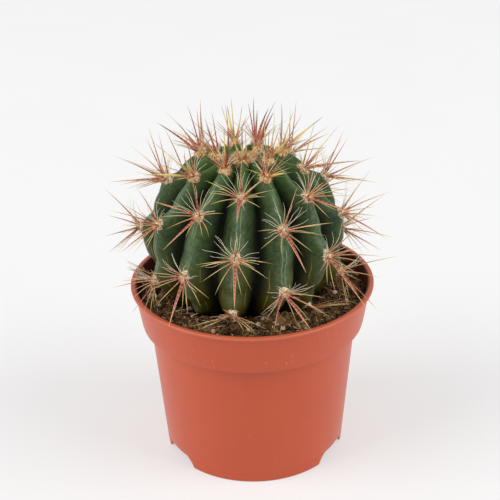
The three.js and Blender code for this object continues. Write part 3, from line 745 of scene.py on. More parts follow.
def inside_profile():
    """The wall from the lip's inner edge down to the middle of the floor."""
    edge = collar_radius(LIP) - WALL
    shelf = COLLAR_BASE + WALL + SHELF_ROUND
    profile = arc_points((edge + EDGE_ROUND, POT_HEIGHT - EDGE_ROUND), EDGE_ROUND, 90, 180, 5)
    profile += [(collar_radius(z) - WALL, z) for z in (86, 82, 76, shelf)]
    corner = (COLLAR_FOOT_RADIUS - WALL - SHELF_ROUND, shelf)
    profile += arc_points(corner, SHELF_ROUND, 0, -90, 4)
    profile += [(body_radius(COLLAR_BASE) - WALL, COLLAR_BASE - 0.4)]
    profile += [(body_radius(z) - WALL, z) for z in (60, 45, 30, 16, FLOOR_HEIGHT + 1)]
    profile += [(body_radius(FLOOR_HEIGHT) - WALL - 1, FLOOR_HEIGHT)]
    return profile + [(radius, FLOOR_HEIGHT) for radius in (38, 20, 0)]


POT_PROFILE = outside_profile() + inside_profile()
print("outline of the wall:", len(POT_PROFILE), "points")

# %% The cut-outs of the foot
NOTCH_FLANK, NOTCH_SHOULDER, NOTCH_ROUND, NOTCH_FADE = 1.5, 4.5, 3, 3


def notch_top(azimuth):
    """The height of the foot's edge at an azimuth: 0 on a foot, up to the cut-out's top."""
    period = 2 * math.pi / FEET
    off = (azimuth - NOTCH_AZIMUTH * DEG + period / 2) % period - period / 2
    inside = NOTCH_WIDTH / 2 - np.abs(off) * FOOT_RADIUS
    straight = np.clip(inside / NOTCH_FLANK, 0, 1) * (NOTCH_HEIGHT - NOTCH_ROUND)
    around = np.clip((inside - NOTCH_FLANK) / NOTCH_SHOULDER, 0, 1)
    rounded = NOTCH_ROUND * np.sin(around * math.pi / 2)
    return np.where(inside > 0, straight + rounded, 0.0)


def pot_azimuths():
    """Even steps round the pot, with extra ones at the ends of each cut-out."""
    half = NOTCH_WIDTH / 2 / FOOT_RADIUS
    turns = list(np.linspace(0, 2 * math.pi, 192, endpoint=False))
    for i in range(FEET):
        middle = NOTCH_AZIMUTH * DEG + i * 2 * math.pi / FEET
        for end in (-1, 1):
            turns += list(middle + end * (half - np.arange(-0.2, 6.5, 0.35) / FOOT_RADIUS))
    return np.unique(np.round(np.mod(turns, 2 * math.pi), 4))


print("columns round the pot:", len(pot_azimuths()))

# %% The pot's mesh
def pot_mesh():
    """The outline turned round the axis, with its low rings lifted in the cut-outs."""
    turns = pot_azimuths()
    lift = notch_top(turns)
    inner_lift = np.minimum(lift, FLOOR_HEIGHT - WALL - 0.1)
    fades_out = NOTCH_HEIGHT + NOTCH_FADE
    rings = []
    for radius, z in POT_PROFILE[1:-1]:
        height = np.full(len(turns), float(z))
        if z < fades_out and radius > FOOT_RADIUS - WALL - 0.1:
            roof = lift if radius > FOOT_RADIUS - 0.5 else inner_lift
            height = z + roof * (1 - np.clip(z / fades_out, 0, 1))
        rings.append(np.stack([radius * np.sin(turns), -radius * np.cos(turns), height], -1))
    points, faces = closed_rings(rings, (0, 0, FLOOR_HEIGHT - WALL), (0, 0, FLOOR_HEIGHT))
    return points, [face[::-1] for face in faces]


pot = new_object("pot_shell", *pot_mesh(), plastic.material)
print("pot shell:", len(pot.data.vertices), "points")

# %% The drain holes
DRILL_TOP, DRILL_END = 9, 2


def drain_drills():
    """Short rods that stand where the drain holes are."""
    around = np.linspace(0, 2 * math.pi, 32, endpoint=False)
    ring = np.stack([np.sin(around), -np.cos(around), 0 * around], -1) * DRAIN_RADIUS
    rods = []
    for i in range(DRAINS):
        turn = (i + 0.5) * 2 * math.pi / DRAINS
        middle = np.array([DRAIN_CIRCLE * math.sin(turn), -DRAIN_CIRCLE * math.cos(turn), 0])
        top, end = middle + (0, 0, DRILL_TOP), middle + (0, 0, DRILL_END)
        rods.append(closed_rings([ring + top, ring + end], top, end))
    points, faces, _ = joined(rods)
    return points, faces


drills = new_object("drills", *drain_drills())
cut = pot.modifiers.new("drains", "BOOLEAN")
cut.operation, cut.object, cut.solver = "DIFFERENCE", drills, "EXACT"
keep_result(pot)
bpy.data.objects.remove(drills)
finish_piece(pot, "pot", "pot")

# %% [markdown]
# ## The skin of the stem
#
# A cactus skin is a thick waxy layer over green tissue, deep green on the flanks. Down in the
# furrows it is painted almost black as shade, and on the crests it is painted greyer, partly for
# the waxy bloom and partly as a painted sheen. A thin pale line runs along each crest between two
# areoles, and old skin near the soil turns olive and corky. A pattern in space would cut across
# the ribs. So the mesh keeps three values at each point: side is the place across the rib, down
# the way from the apex, and depth how far the skin lies in the furrow.

# %% Skin paint
waxy = Finish("cactus_skin", **{"IOR": 1.45, "Specular IOR Level": 0.32})
side, down, depth = waxy.attribute("side"), waxy.attribute("down"), waxy.attribute("depth")
off_crest = side.math("ABSOLUTE")
blotches = waxy.noise(7, 4.0)
mottle = waxy.noise(1.7, 5.0, 0.65)
pores = waxy.noise(0.35, 2.0)
speckle = waxy.noise(0.8, 3.0, 0.7)
leaf = waxy.mix(blotches.between(0.3, 0.7), srgb(22, 43, 16), srgb(46, 69, 23))
leaf = waxy.mix(mottle.between(0.35, 0.7) * 0.4, leaf, srgb(84, 102, 46))
leaf = waxy.mix(speckle.between(0.5, 0.62) * 0.35, leaf, srgb(20, 38, 18))
# The crests painted greyer: partly the waxy bloom, partly a painted sheen.
wax_and_sheen = (1 - off_crest).between(0.55, 1.0) * (0.25 + mottle.between(0.3, 0.7) * 0.45)
leaf = waxy.mix(wax_and_sheen * 0.70, leaf, srgb(114, 136, 104))
fresh = 1 - down.between(0.12, 0.45)
leaf = waxy.mix(fresh * 0.5, leaf, srgb(60, 98, 24))
old = down.between(0.55, 0.95)
leaf = waxy.mix(old * (0.2 + off_crest * 0.5 + blotches * 0.4), leaf, srgb(90, 76, 12))
browned = waxy.noise(3.5, 5.0, 0.7).between(0.58, 0.7) * old * off_crest
leaf = waxy.mix(browned * 0.6, leaf, srgb(92, 60, 18))
# Painted shade: the skin is darkened to almost black the deeper it lies in a furrow.
shaded = depth.between(0.14, 0.72)
leaf = waxy.mix(shaded * 0.9, leaf, srgb(9, 13, 4))
print("green mixed")

# %% Lines and scars on the skin
wander = (waxy.noise(5, 3.0, stretch=(1, 1, 0.5)) - 0.5) * 0.10
line_place = off_crest + wander
line = line_place.between(0.05, 0.07) * (1 - line_place.between(0.075, 0.105))
broken = waxy.noise(6, 3.0, stretch=(1, 1, 0.35)).between(0.42, 0.58)
leaf = waxy.mix(line * broken * 0.55, leaf, srgb(152, 170, 118))
scar_place = off_crest + wander * 1.5
scar = scar_place.between(0.50, 0.515) * (1 - scar_place.between(0.52, 0.545))
scar = scar * down.between(0.62, 0.75) * waxy.noise(9, 3.0).between(0.45, 0.6)
leaf = waxy.mix(scar * 0.7, leaf, srgb(160, 140, 66))
waxy.paint(Base_Color=leaf,
           Roughness=0.42 + mottle * 0.18 + scar * 0.2 - wax_and_sheen * 0.06 + shaded * 0.4)
waxy.bump(mottle * 0.5 + pores * 0.2 + speckle * 0.3 + line * broken * 0.4 + scar * 0.5, 0.18)
print("lines and scars drawn")

# %% [markdown]
# ## The stem
#
# The stem's shape follows a rule, so a geometry tree makes it. A smooth globe goes in, with each
# point's direction out of the skin and its place across the rib. The tree pushes the furrows in
# and the swellings under the areoles out. The depth of the ribs, how sharp they are and how
# uneven the skin is are its inputs, so the same tree makes a plant with shallow or deep folds.

# %% The tree that folds the ribs
ribs, source = geometry_graph("fold_ribs", {"Rib Depth": RIB_DEPTH, "Rib Power": RIB_POWER,
                                            "Unevenness": 0.35, "Seed": 3.0})
across = named(ribs, "side").math("ABSOLUTE")
furrow = (across ** source.out("Rib Power")) * source.out("Rib Depth") * named(ribs, "grown")
swelling = named(ribs, "relief") * (1 - across * across)
position = ribs.add("GeometryNodeInputPosition")
lumps = ribs.add("ShaderNodeTexNoise", {"noise_dimensions": "4D"},
                 {"Vector": position, "W": source.out("Seed"), "Scale": 90.0, "Detail": 3.0})
uneven = (lumps - 0.5) * source.out("Unevenness") * named(ribs, "grown")
push = (swelling - furrow + uneven) * MM
along_out = ribs.scaled(named(ribs, "out", "FLOAT_VECTOR"), push)
folded = ribs.add("GeometryNodeSetPosition", None, {"Geometry": source, "Offset": along_out})
close_graph(ribs, folded, waxy.material)
print("rib tree:", len(ribs.tree.nodes), "nodes")

# %% The smooth globe and its foot
COLUMNS_PER_RIB, APEX_RINGS, SKIN_RINGS = 20, 4, 150
FOOT_LEVELS, RIBS_END, BURIED_RIBS = (84, 82, 79.5, 77, 74, 70, 67), 72, 0.2


def foot_radius(z):
    """The buried foot narrows from the crest line to a blunt root."""
    line = crest_at(arc_at_height(np.maximum(z, FOOT_TAPER)))[0]
    narrow = np.maximum(0, (FOOT_TAPER - z) / (FOOT_TAPER - ROOT_TIP))
    return line * (1 - FOOT_NARROWING * narrow ** FOOT_CURVE)


def stem_base():
    """Points of the globe before its ribs are folded, with the values that the tree reads."""
    columns = RIBS * COLUMNS_PER_RIB
    last = float(arc_at_height(SOIL_LINE - BURIED))
    arcs = np.concatenate([np.linspace(0.6, 3, APEX_RINGS), np.linspace(3.8, last, SKIN_RINGS)])
    turn = np.arange(columns) * 2 * math.pi / columns
    arc = np.repeat(arcs[:, None], columns, 1)
    azimuth = crest_azimuth(0, arc) + turn
    radius, z, out_r, out_z, side, grown, relief, dimple = skin(arc, azimuth)
    rings = place(radius, azimuth, z - dimple)
    out = np.stack([out_r * np.sin(azimuth), -out_r * np.cos(azimuth), out_z], -1)
    values = {"side": side, "grown": grown, "relief": relief,
              "down": arc / last, "depth": np.abs(side) ** RIB_POWER * grown}
    foot = []
    for level in FOOT_LEVELS:
        left = max(0, (level - RIBS_END) / (SOIL_LINE - BURIED - RIBS_END))
        ribbed = 1 - BURIED_RIBS * np.abs(side[-1]) ** RIB_POWER * left
        foot.append(place(foot_radius(level) * ribbed, azimuth[-1], np.full(columns, level)))
    rings = np.concatenate([rings, foot])
    for key in values:
        tail = values[key][-1:] * (0 if key in ("grown", "relief") else 1)
        values[key] = np.concatenate([values[key]] + [tail] * len(foot))
    out = np.concatenate([out, np.zeros_like(foot)])
    return rings, values, out


rings, values, out = stem_base()
print("globe:", rings.shape[0], "rings of", rings.shape[1], "points")

# %% The stem's skin
top = (STEM_X, axis_y(CROWN_TOP), CROWN_TOP - DIMPLE)
points, faces = closed_rings(rings, top, (STEM_X, axis_y(ROOT_TIP), ROOT_TIP))
columns = {key: np.concatenate([[0], value.ravel(), [0]]) for key, value in values.items()}
stem = new_object("stem_skin", points, faces, waxy.material, values=columns)
pushes = np.concatenate([[(0, 0, 1)], out.reshape(-1, 3), [(0, 0, 0)]])
layer = stem.data.attributes.new("out", "FLOAT_VECTOR", "POINT")
layer.data.foreach_set("vector", pushes.astype(np.float32).ravel())
apply_graph(stem, ribs, waxy.material, rib_depth=RIB_DEPTH, unevenness=0.35)
finish_piece(stem, "stem", "stem")

# %% [markdown]
# ## Where every spine stands
#
# Spines grow in one pattern at each areole: a stout main spine that hangs down like a tongue,
# three straight centrals, a fan of radials below and thin bristles above. The pattern is
# scattered by a seeded sequence. A spine that would meet a rib, the pot or another spine is
# turned, raised or shortened until it is clear, as the crowded spines of a real plant are.

# %% The pattern of one areole
# Each line: kind, turn from the apex, rise off the skin, in degrees, length and width in mm.
MAIN, CENTRAL, RADIAL = range(3)
SPINES = [
    (MAIN, 180, 42, 28, 0.95),
    (CENTRAL, 4, 54, 26, 0.65), (CENTRAL, -96, 58, 25, 0.62), (CENTRAL, 96, 58, 25, 0.62),
    (RADIAL, -90, 26, 18, 0.5), (RADIAL, 90, 26, 18, 0.5),
    (RADIAL, -117, 32, 17.5, 0.5), (RADIAL, 117, 32, 17.5, 0.5),
    (RADIAL, -146, 34, 17, 0.48), (RADIAL, 142, 32, 17, 0.48), (RADIAL, 166, 30, 14, 0.42),
]
SCATTER_TURN, SCATTER_RISE, SCATTER_LENGTH, MAIN_DROOP = 8, 7, 0.12, 0.05
YOUNG_AREOLES, YOUNG_RISE, YOUNG_SHORTER = 16, 26, 0.34
ROOT_SPREAD, ROOT_DEPTH, BEND = 1.3, 1.4, 0.7
SPINE_REACH, LOW_REACH, LIP_CLEAR, SPINE_CLEAR, OPEN_RADIUS = 72, 62, 1, 0.35, 55.5
OVERHANG_HEIGHT, LOW_RAISED = 7, 1.2
TRIES, TURN_TRY, STEEPEST, SHORTER_TRY, SHORTENINGS, CROWN = 30, 1.6, 88, 0.82, 4, -1
FIRST_SEED = 11
print("spines in the pattern:", len(SPINES))

# %% Chance, youth, cushions and packed soil
def draws(seed):
    """A plain repeatable sequence of numbers from 0 to 1."""
    state = (seed * 2654435761) % 2 ** 32
    while True:
        state = (state * 1664525 + 1013904223) % 2 ** 32
        yield state / 2 ** 32


def youth(n):
    """1 for the youngest areole, 0 for one that is fully grown."""
    return max(0, 1 - n / YOUNG_AREOLES)


def cushion_size(n):
    """How large the felt cushion of an areole is: young ones wider, the oldest worn down."""
    return WORN if n >= AREOLES - OLDEST else 1 + YOUNG_WIDER * youth(n)


def soil_top(radius, azimuth):
    """The height of the packed soil, which is heaped against the stem in front."""
    near = np.clip((HEAP_RADIUS - radius) / HEAP_WIDTH, 0, 1)
    lumps = np.sin(3 * azimuth + 0.7) * np.cos(radius * 0.35 + azimuth)
    lumps = lumps + 0.6 * np.sin(7 * azimuth - radius * 0.5)
    heap = SOIL_HEAP + FRONT_HEAP * np.cos(azimuth / 2) ** FRONT_HEAP_POWER
    return SOIL_AT_WALL + heap * near * near * (3 - 2 * near) + SOIL_LUMP * lumps


print("soil against the stem in front:", round(float(soil_top(41.0, 0.0)), 1), "mm high")

# %% The path of a spine
UPWARD = np.array([0.0, 0.0, 1.0])


def spine_path(areole, root, turn, rise, length, droop, raised):
    """Foot, middle and tip of a spine, in the directions of its areole."""
    level = math.cos(rise * DEG)
    across = areole["up"] * math.cos(turn * DEG) + areole["right"] * math.sin(turn * DEG)
    way = level * across + math.sin(rise * DEG) * areole["out"] + raised * UPWARD
    way /= np.linalg.norm(way)
    start = root + ROOT_SPREAD * across
    tip = start + way * length - areole["out"] * droop * length
    return np.array([start, start + way * length / 2, tip])


print("a path is three points: foot, middle and tip")

# %% Clear of the pot, the soil and the stem
STEPS = np.arange(1, 7)[:, None] / 6
STEM_PARTS = (0.3, 0.65, 1)
ON_LIP, BESIDE_LIP, ANYWHERE = 1, 3, -1e9


def clears_pot(path, width, reach):
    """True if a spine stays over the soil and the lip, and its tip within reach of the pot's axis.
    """
    if math.hypot(path[2][0], path[2][1]) > reach:
        return False
    p = np.concatenate([path[i] + (path[i + 1] - path[i]) * STEPS for i in (0, 1)])
    radius = np.hypot(p[:, 0], p[:, 1])
    lowest = np.full(len(p), ANYWHERE)
    lowest[radius < RIM_RADIUS + BESIDE_LIP] = POT_HEIGHT
    lowest[radius < RIM_RADIUS + ON_LIP] = POT_HEIGHT + LIP_CLEAR + width
    ground = soil_top(radius, np.arctan2(p[:, 0], -p[:, 1])) + LIP_CLEAR + SPINE_CLEAR + width
    lowest = np.where(radius < OPEN_RADIUS, ground, lowest)
    return not np.any(p[:, 2] < lowest)


def overhangs(tip):
    """A main spine ends inside the lip, or well above it."""
    return math.hypot(tip[0], tip[1]) > OPEN_RADIUS and tip[2] < POT_HEIGHT + OVERHANG_HEIGHT


def clears_stem(path, width):
    """True if the outer half of a spine stays out of the ribs."""
    for part in STEM_PARTS:
        p = path[1] + (path[2] - path[1]) * part
        if p[2] > CROWN_TOP:
            continue
        radius = math.hypot(p[0] - STEM_X, p[1] - axis_y(p[2]))
        if radius < crest_at(arc_at_height(p[2]))[0] + SWELLING + width + SPINE_CLEAR:
            return False
    return True


print("a spine keeps", SPINE_CLEAR, "mm off the stem and", LIP_CLEAR, "mm off the lip")

# %% Distances between stretches of spines
def stretch_gaps(p, q, a, b):
    """Least distances between the stretch p to q and many from a to b, with their places."""
    d1, d2, r = q - p, b - a, p - a
    aa, ee, f = d1 @ d1, (d2 * d2).sum(1), (d2 * r).sum(1)
    c, bb = r @ d1, d2 @ d1
    den = aa * ee - bb * bb
    s = np.where(den > 1e-9, np.clip((bb * f - c * ee) / np.where(den > 1e-9, den, 1), 0, 1), 0)
    t = (bb * s + f) / ee
    s = np.where(t < 0, np.clip(-c / aa, 0, 1), np.where(t > 1, np.clip((bb - c) / aa, 0, 1), s))
    t = np.clip(t, 0, 1)
    gap = np.linalg.norm(p + d1 * s[:, None] - a - d2 * t[:, None], axis=1)
    return gap, s, t


def thickness(width, half, part):
    """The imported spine's thickness, which falls slowly in its lower half and fast above."""
    return np.where(half == 0, width * (1 - (1 - BEND) * part), width * BEND * (1 - part))


print("half way up, a spine keeps", BEND, "of its thickness")

# %% Clear of each other
def clears_others(path, width, body, grown, middles):
    """True if a spine stays off the cushions and the spines of the other areoles."""
    for n, middle, size in middles:
        if n == body:
            continue
        for i in (0, 1):
            d = path[i + 1] - path[i]
            t = np.clip((middle - path[i]) @ d / (d @ d), 0, 1)
            if np.linalg.norm(path[i] + t * d - middle) < size + width + SPINE_CLEAR:
                return False
    others = [spine for spine in grown if spine["n"] != body]
    if not others:
        return True
    paths = np.array([spine["path"] for spine in others])
    widths = np.array([spine["width"] for spine in others])
    for i in (0, 1):
        for j in (0, 1):
            gap, s, t = stretch_gaps(path[i], path[i + 1], paths[:, j], paths[:, j + 1])
            thick = thickness(width, i, s) + thickness(widths, j, t)
            if np.any(gap < thick + SPINE_CLEAR):
                return False
    return True


print("spines of one body may touch, those of two may not")

# %% Grow the spines
def body_of(n):
    """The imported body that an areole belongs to: the youngest are one with the crown."""
    return CROWN if n < CROWN_AREOLES else n


def grow_spines():
    """Every spine, tried at its place in the pattern first and then turned, raised, shortened."""
    middles = [(body_of(f["n"]), f["at"] + f["out"], CUSHION_LENGTH * cushion_size(f["n"]))
               for f in FRAMES]
    grown = []
    for f in FRAMES:
        n, draw = f["n"], draws(f["n"] + FIRST_SEED)
        root = f["at"] + f["out"] * ROOT_DEPTH
        low = n >= AREOLES - OLDEST
        up, within = (LOW_RAISED, LOW_REACH) if low else (0, SPINE_REACH)
        for kind, turn, rise, length, width in SPINES:
            loose = 0.5 if kind == MAIN else 1
            turn = turn + loose * SCATTER_TURN * (2 * next(draw) - 1)
            rise = rise + loose * SCATTER_RISE * (2 * next(draw) - 1) + YOUNG_RISE * youth(n)
            length *= (1 + SCATTER_LENGTH * (2 * next(draw) - 1)) * (1 - YOUNG_SHORTER * youth(n))
            for attempt in range(SHORTENINGS * TRIES):
                step = attempt % TRIES
                reach = length * SHORTER_TRY ** (attempt // TRIES)
                aside = (1 if step % 2 else -1) * step * TURN_TRY
                lift = rise + (STEEPEST - rise) * step / TRIES
                droop = MAIN_DROOP if kind == MAIN else 0
                path = spine_path(f, root, turn + aside, lift, reach, droop, up * step / TRIES)
                if kind == MAIN and overhangs(path[2]):
                    continue
                if not clears_stem(path, width) or not clears_pot(path, width, within):
                    continue
                if not clears_others(path, width, body_of(n), grown, middles):
                    continue
                grown.append({"n": body_of(n), "areole": n, "kind": kind, "width": width,
                              "path": path, "reach": reach})
                break
    return grown


GROWN = grow_spines()
print("spines of the packed solids:", len(GROWN))

# %% [markdown]
# ## Spine finish
#
# A spine is dead, hard tissue. On this plant its broad faces are crimson or pink along their
# middle and cream at the edges, it is paler to the tip, and fine rings show how it grew. Spines
# near the crown are amber at the foot, wine red or yellow along the shaft and dark at the tip.
# Every spine could have a material of its own, but one is enough: each point keeps how far along
# the spine it lies, how near the middle of a face, how young its areole is and a tone of its
# own, and colour ramps turn these into paint. Bristles have the same finish with thin set to 1.

# %% Spine colours
horn = Finish("spine_horn", **{"IOR": 1.5, "Specular IOR Level": 0.45})
along, young, tint = horn.attribute("along"), horn.attribute("young"), horn.attribute("tint")
thin, ridge = horn.attribute("thin"), horn.attribute("ridge")
RAMPS = {
    "crimson": [(0.03, srgb(230, 192, 150)), (0.09, srgb(136, 10, 42)), (0.45, srgb(158, 30, 56)),
                (0.74, srgb(192, 104, 82)), (1.0, srgb(220, 188, 130))],
    "cream": [(0.03, srgb(232, 196, 144)), (0.12, srgb(212, 152, 88)), (0.5, srgb(236, 208, 132)),
              (1.0, srgb(226, 202, 132))],
    "tan": [(0.0, srgb(206, 150, 98)), (0.2, srgb(188, 126, 66)), (0.6, srgb(214, 178, 98)),
            (1.0, srgb(150, 98, 56))],
    "wine": [(0.0, srgb(214, 150, 70)), (0.08, srgb(170, 46, 60)), (0.30, srgb(158, 20, 56)),
             (0.58, srgb(122, 26, 44)), (0.84, srgb(50, 22, 22))],
    "yellow": [(0.0, srgb(214, 150, 70)), (0.14, srgb(170, 90, 46)), (0.34, srgb(224, 190, 96)),
               (0.64, srgb(220, 208, 124)), (0.90, srgb(96, 74, 46))],
    "bristle": [(0.0, srgb(232, 206, 160)), (0.5, srgb(246, 234, 206)), (1.0, srgb(246, 238, 220))],
}
ramp = {name: horn.add("ShaderNodeValToRGB", {"stops": stops}, {"Fac": along})
        for name, stops in RAMPS.items()}
print("ramps along a spine:", ", ".join(ramp))

# %% Which ramp where, with rings and specks
RINGS_ALONG = 70.0
middle = ridge.between(0.25, 0.6)
pink = horn.mix(middle, ramp["cream"], ramp["crimson"])
straw = horn.mix(middle * (1 - along.between(0.15, 0.7)) * 0.9, ramp["cream"], ramp["crimson"])
straw = horn.mix(tint.between(0.74, 0.82), straw, ramp["tan"])
shade = horn.mix(tint.between(0.40, 0.52), pink, straw)
pale_edge = horn.mix(middle, ramp["cream"], ramp["wine"])
amber = horn.mix(tint.between(0.34, 0.42), pale_edge, ramp["wine"])
amber = horn.mix(tint.between(0.54, 0.62), amber, ramp["yellow"])
shade = horn.mix(young.between(0.25, 0.6), shade, amber)
shade = horn.mix(thin, shade, ramp["bristle"])
specks = horn.noise(0.9, 3.0)
rings_wave = (along * RINGS_ALONG + specks * 6.0).math("SINE") * 0.5 + 0.5
rings_wave = rings_wave * (1 - along.between(0.75, 1.0)) * (1 - thin)
shade = horn.mix(rings_wave * 0.24, shade, srgb(244, 216, 166))
shade = horn.mix(specks.between(0.55, 0.75) * 0.4 * (1 - thin), shade, srgb(104, 44, 34))
horn.paint(Base_Color=shade, Roughness=0.42 + specks * 0.2)
horn.bump(rings_wave * 0.7 + specks * 0.3, 0.08)
print("spine paint mixed")

# %% [markdown]
# ## The spines
#
# Each spine is one line of points with a thickness at each of them. A geometry tree turns the
# lines into round or flattened shafts, which is quicker and more even than modelling a cone and
# bending it hundreds of times. How flat they are is an input, since the main spine is by far the
# flattest. The tree also marks the middle of the broad faces, which the paint reads as ridge.

# %% The tree that thickens lines
def shaft_graph():
    """Lines go in, and closed tapered shafts come out."""
    graph, source = geometry_graph("thicken_lines",
                                   {"Thickness": 1.0, "Flatness": 1.0, "Sides": 6})
    curve = graph.add("GeometryNodeMeshToCurve", None, {"Mesh": source})
    level = graph.add("GeometryNodeSetCurveNormal", {"mode": "Z_UP"}, {"Curve": curve})
    girth = named(graph, "girth") * source.out("Thickness")
    ring = graph.add("GeometryNodeCurvePrimitiveCircle", {"mode": "RADIUS"},
                     {"Resolution": source.out("Sides"), "Radius": 1.0})
    flat = graph.add("ShaderNodeCombineXYZ", None, {0: 1.0, 1: source.out("Flatness"), 2: 1.0})
    spot = graph.add("ShaderNodeSeparateXYZ", None,
                     {0: graph.add("GeometryNodeInputPosition")}, out="Y")
    marked = graph.add("GeometryNodeStoreNamedAttribute",
                       {"data_type": "FLOAT", "domain": "POINT"},
                       {"Geometry": ring, "Name": "ridge", "Value": spot.math("ABSOLUTE")})
    pressed = graph.add("GeometryNodeTransform", None, {"Geometry": marked, "Scale": flat})
    shaft = graph.add("GeometryNodeCurveToMesh", None,
                      {"Curve": level, "Profile Curve": pressed, "Scale": girth,
                       "Fill Caps": True})
    smooth = graph.add("GeometryNodeSetShadeSmooth", None, {"Geometry": shaft})
    close_graph(graph, smooth, horn.material)
    return graph


shafts = shaft_graph()
print("shaft tree:", len(shafts.tree.nodes), "nodes")

# %% Lines of points for spines
INSIDE_BOX = 0.15
LOWEST = np.array(CAD_BOX[0]) / MM + INSIDE_BOX
HIGHEST = np.array(CAD_BOX[1]) / MM - INSIDE_BOX


class Lines:
    """Collects lines of points with their values, and makes one object of them."""

    def __init__(self):
        self.points, self.edges = [], []
        self.values = {key: [] for key in ("girth", "along", "young", "tint", "thin")}

    def add(self, points, radii, young, tint, thin=0.0):
        """One line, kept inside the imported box, with one value each for the paint."""
        points = np.clip(points, LOWEST, HIGHEST)
        first, count = len(self.points), len(points)
        self.points += points.tolist()
        self.edges += [(first + i, first + i + 1) for i in range(count - 1)]
        self.values["girth"] += (np.asarray(radii) * MM).tolist()
        self.values["along"] += np.linspace(0, 1, count).tolist()
        for key, value in (("young", young), ("tint", tint), ("thin", thin)):
            self.values[key] += [value] * count

    def build(self, name, graph, material, **inputs):
        """All lines as one object, thickened by the tree."""
        thing = new_object(name, self.points, [], material, values=self.values, edges=self.edges)
        return apply_graph(thing, graph, material, **inputs)


print("spines end", INSIDE_BOX, "mm inside the packed box")

# %% The line of one spine
SHAFT_RADIUS = {MAIN: 0.86, CENTRAL: 0.44, RADIAL: 0.26}
SHAFT_POINTS = {MAIN: 12, CENTRAL: 9, RADIAL: 8}
SIDEWAYS_BOW = {MAIN: 0.03, CENTRAL: 0.05, RADIAL: 0.07}
FOOT_THICKER = {MAIN: 0.1, CENTRAL: 0.3, RADIAL: 0.45}
UPWARD_BOW, ROOTED, THINNEST = 0.02, 1.4, 0.03


def shaft_points(spine, chance):
    """A spine's own line: a little curved, and rooted in the felt."""
    kind, (start, _, tip) = spine["kind"], spine["path"]
    way = tip - start
    side = np.cross(way, UPWARD)
    side /= np.linalg.norm(side) + 1e-9
    t = np.linspace(0, 1, SHAFT_POINTS[kind])
    arch = np.sin(math.pi * t[:, None])
    bow = (chance.random() - 0.5) * SIDEWAYS_BOW[kind]
    line = start + way * t[:, None] + side * bow * spine["reach"] * arch
    line = line + UPWARD * arch * UPWARD_BOW * spine["reach"]
    line[0] = line[0] - way / np.linalg.norm(way) * ROOTED
    taper = (1 - t ** 1.25) ** 0.85
    taper[:2] += FOOT_THICKER[kind]
    return line, SHAFT_RADIUS[kind] * np.maximum(taper, THINNEST)


print("a main spine has", SHAFT_POINTS[MAIN], "points along it")

# %% Ages and tones of the spines
YOUNG_LIMIT, PAINTED_YOUNG = 13, 12
chance = np.random.default_rng(41)
AREOLE_TINTS = [chance.random() for _ in range(AREOLES)]


def own_tint(spine, young):
    """The tone that picks a spine's ramps: partly its areole's, and straw on most radials."""
    tint = 0.4 * AREOLE_TINTS[spine["areole"]] + 0.6 * chance.random()
    if young >= 0.3:
        return tint
    if spine["kind"] == RADIAL:
        return 0.35 + 0.65 * tint
    return tint * {MAIN: 0.4, CENTRAL: 0.7}[spine["kind"]]


print("areoles", CROWN_AREOLES, "to", YOUNG_LIMIT - 1, "carry the piece of young spines")

# %% Main, central and radial spines
def spine_piece(name, chosen, slot, flatness, sides, nodes=()):
    """One piece of spines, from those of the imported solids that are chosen."""
    lines = Lines()
    for spine in GROWN:
        if not chosen(spine):
            continue
        points, radii = shaft_points(spine, chance)
        young = youth(spine["areole"]) * YOUNG_AREOLES / PAINTED_YOUNG
        lines.add(points, radii, young, own_tint(spine, young))
    piece = lines.build(name, shafts, horn.material, flatness=flatness, sides=sides)
    finish_piece(piece, slot, *nodes)


def areole_nodes(first, last):
    """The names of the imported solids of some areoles."""
    return [f"areole_{n:02d}" for n in range(first, last)]


spine_piece("main_spines", lambda s: s["kind"] == MAIN and s["areole"] >= YOUNG_LIMIT,
            "spines", 0.5, 8, areole_nodes(YOUNG_LIMIT, AREOLES))
spine_piece("central_spines", lambda s: s["kind"] == CENTRAL and s["areole"] >= YOUNG_LIMIT,
            "spines", 0.8, 7)
spine_piece("radial_spines", lambda s: s["kind"] == RADIAL and s["areole"] >= YOUNG_LIMIT,
            "spines", 0.9, 6)
spine_piece("young_spines", lambda s: CROWN_AREOLES <= s["areole"] < YOUNG_LIMIT,
            "young_spines", 0.75, 7, areole_nodes(CROWN_AREOLES, YOUNG_LIMIT))
spine_piece("crown_spines", lambda s: s["areole"] < CROWN_AREOLES, "crown", 0.75, 7, ["crown"])

# %% [markdown]
# ## The bristles
#
# Above the stout spines each areole carries a fan of hair-fine bristles, white to straw, that
# wave in and out and lie close to the skin. They could be particles, but an export drops those.
# The tree of the spines makes them too, from lines with only four sides.

# %% Wavy bristles
BRISTLES, CROWN_BRISTLES, OLD_BRISTLES = 14, 9, 4
BRISTLE_FAN, FAN_SCATTER, BRISTLE_RADIUS, BRISTLE_POINTS = 105, 9, 0.13, 12
BRISTLE_LENGTH, FAN_END_SHORTER, LENGTH_SCATTER, SHORTEST_BRISTLE = 14, 3, 2, 5.0
LOWEST_RISE, RISE_SCATTER, FOOT_LIFT, FOOT_RING = 20, 16, 0.6, 1.2
BRISTLE_SWAY, BRISTLE_ARCH = 0.06, 0.10


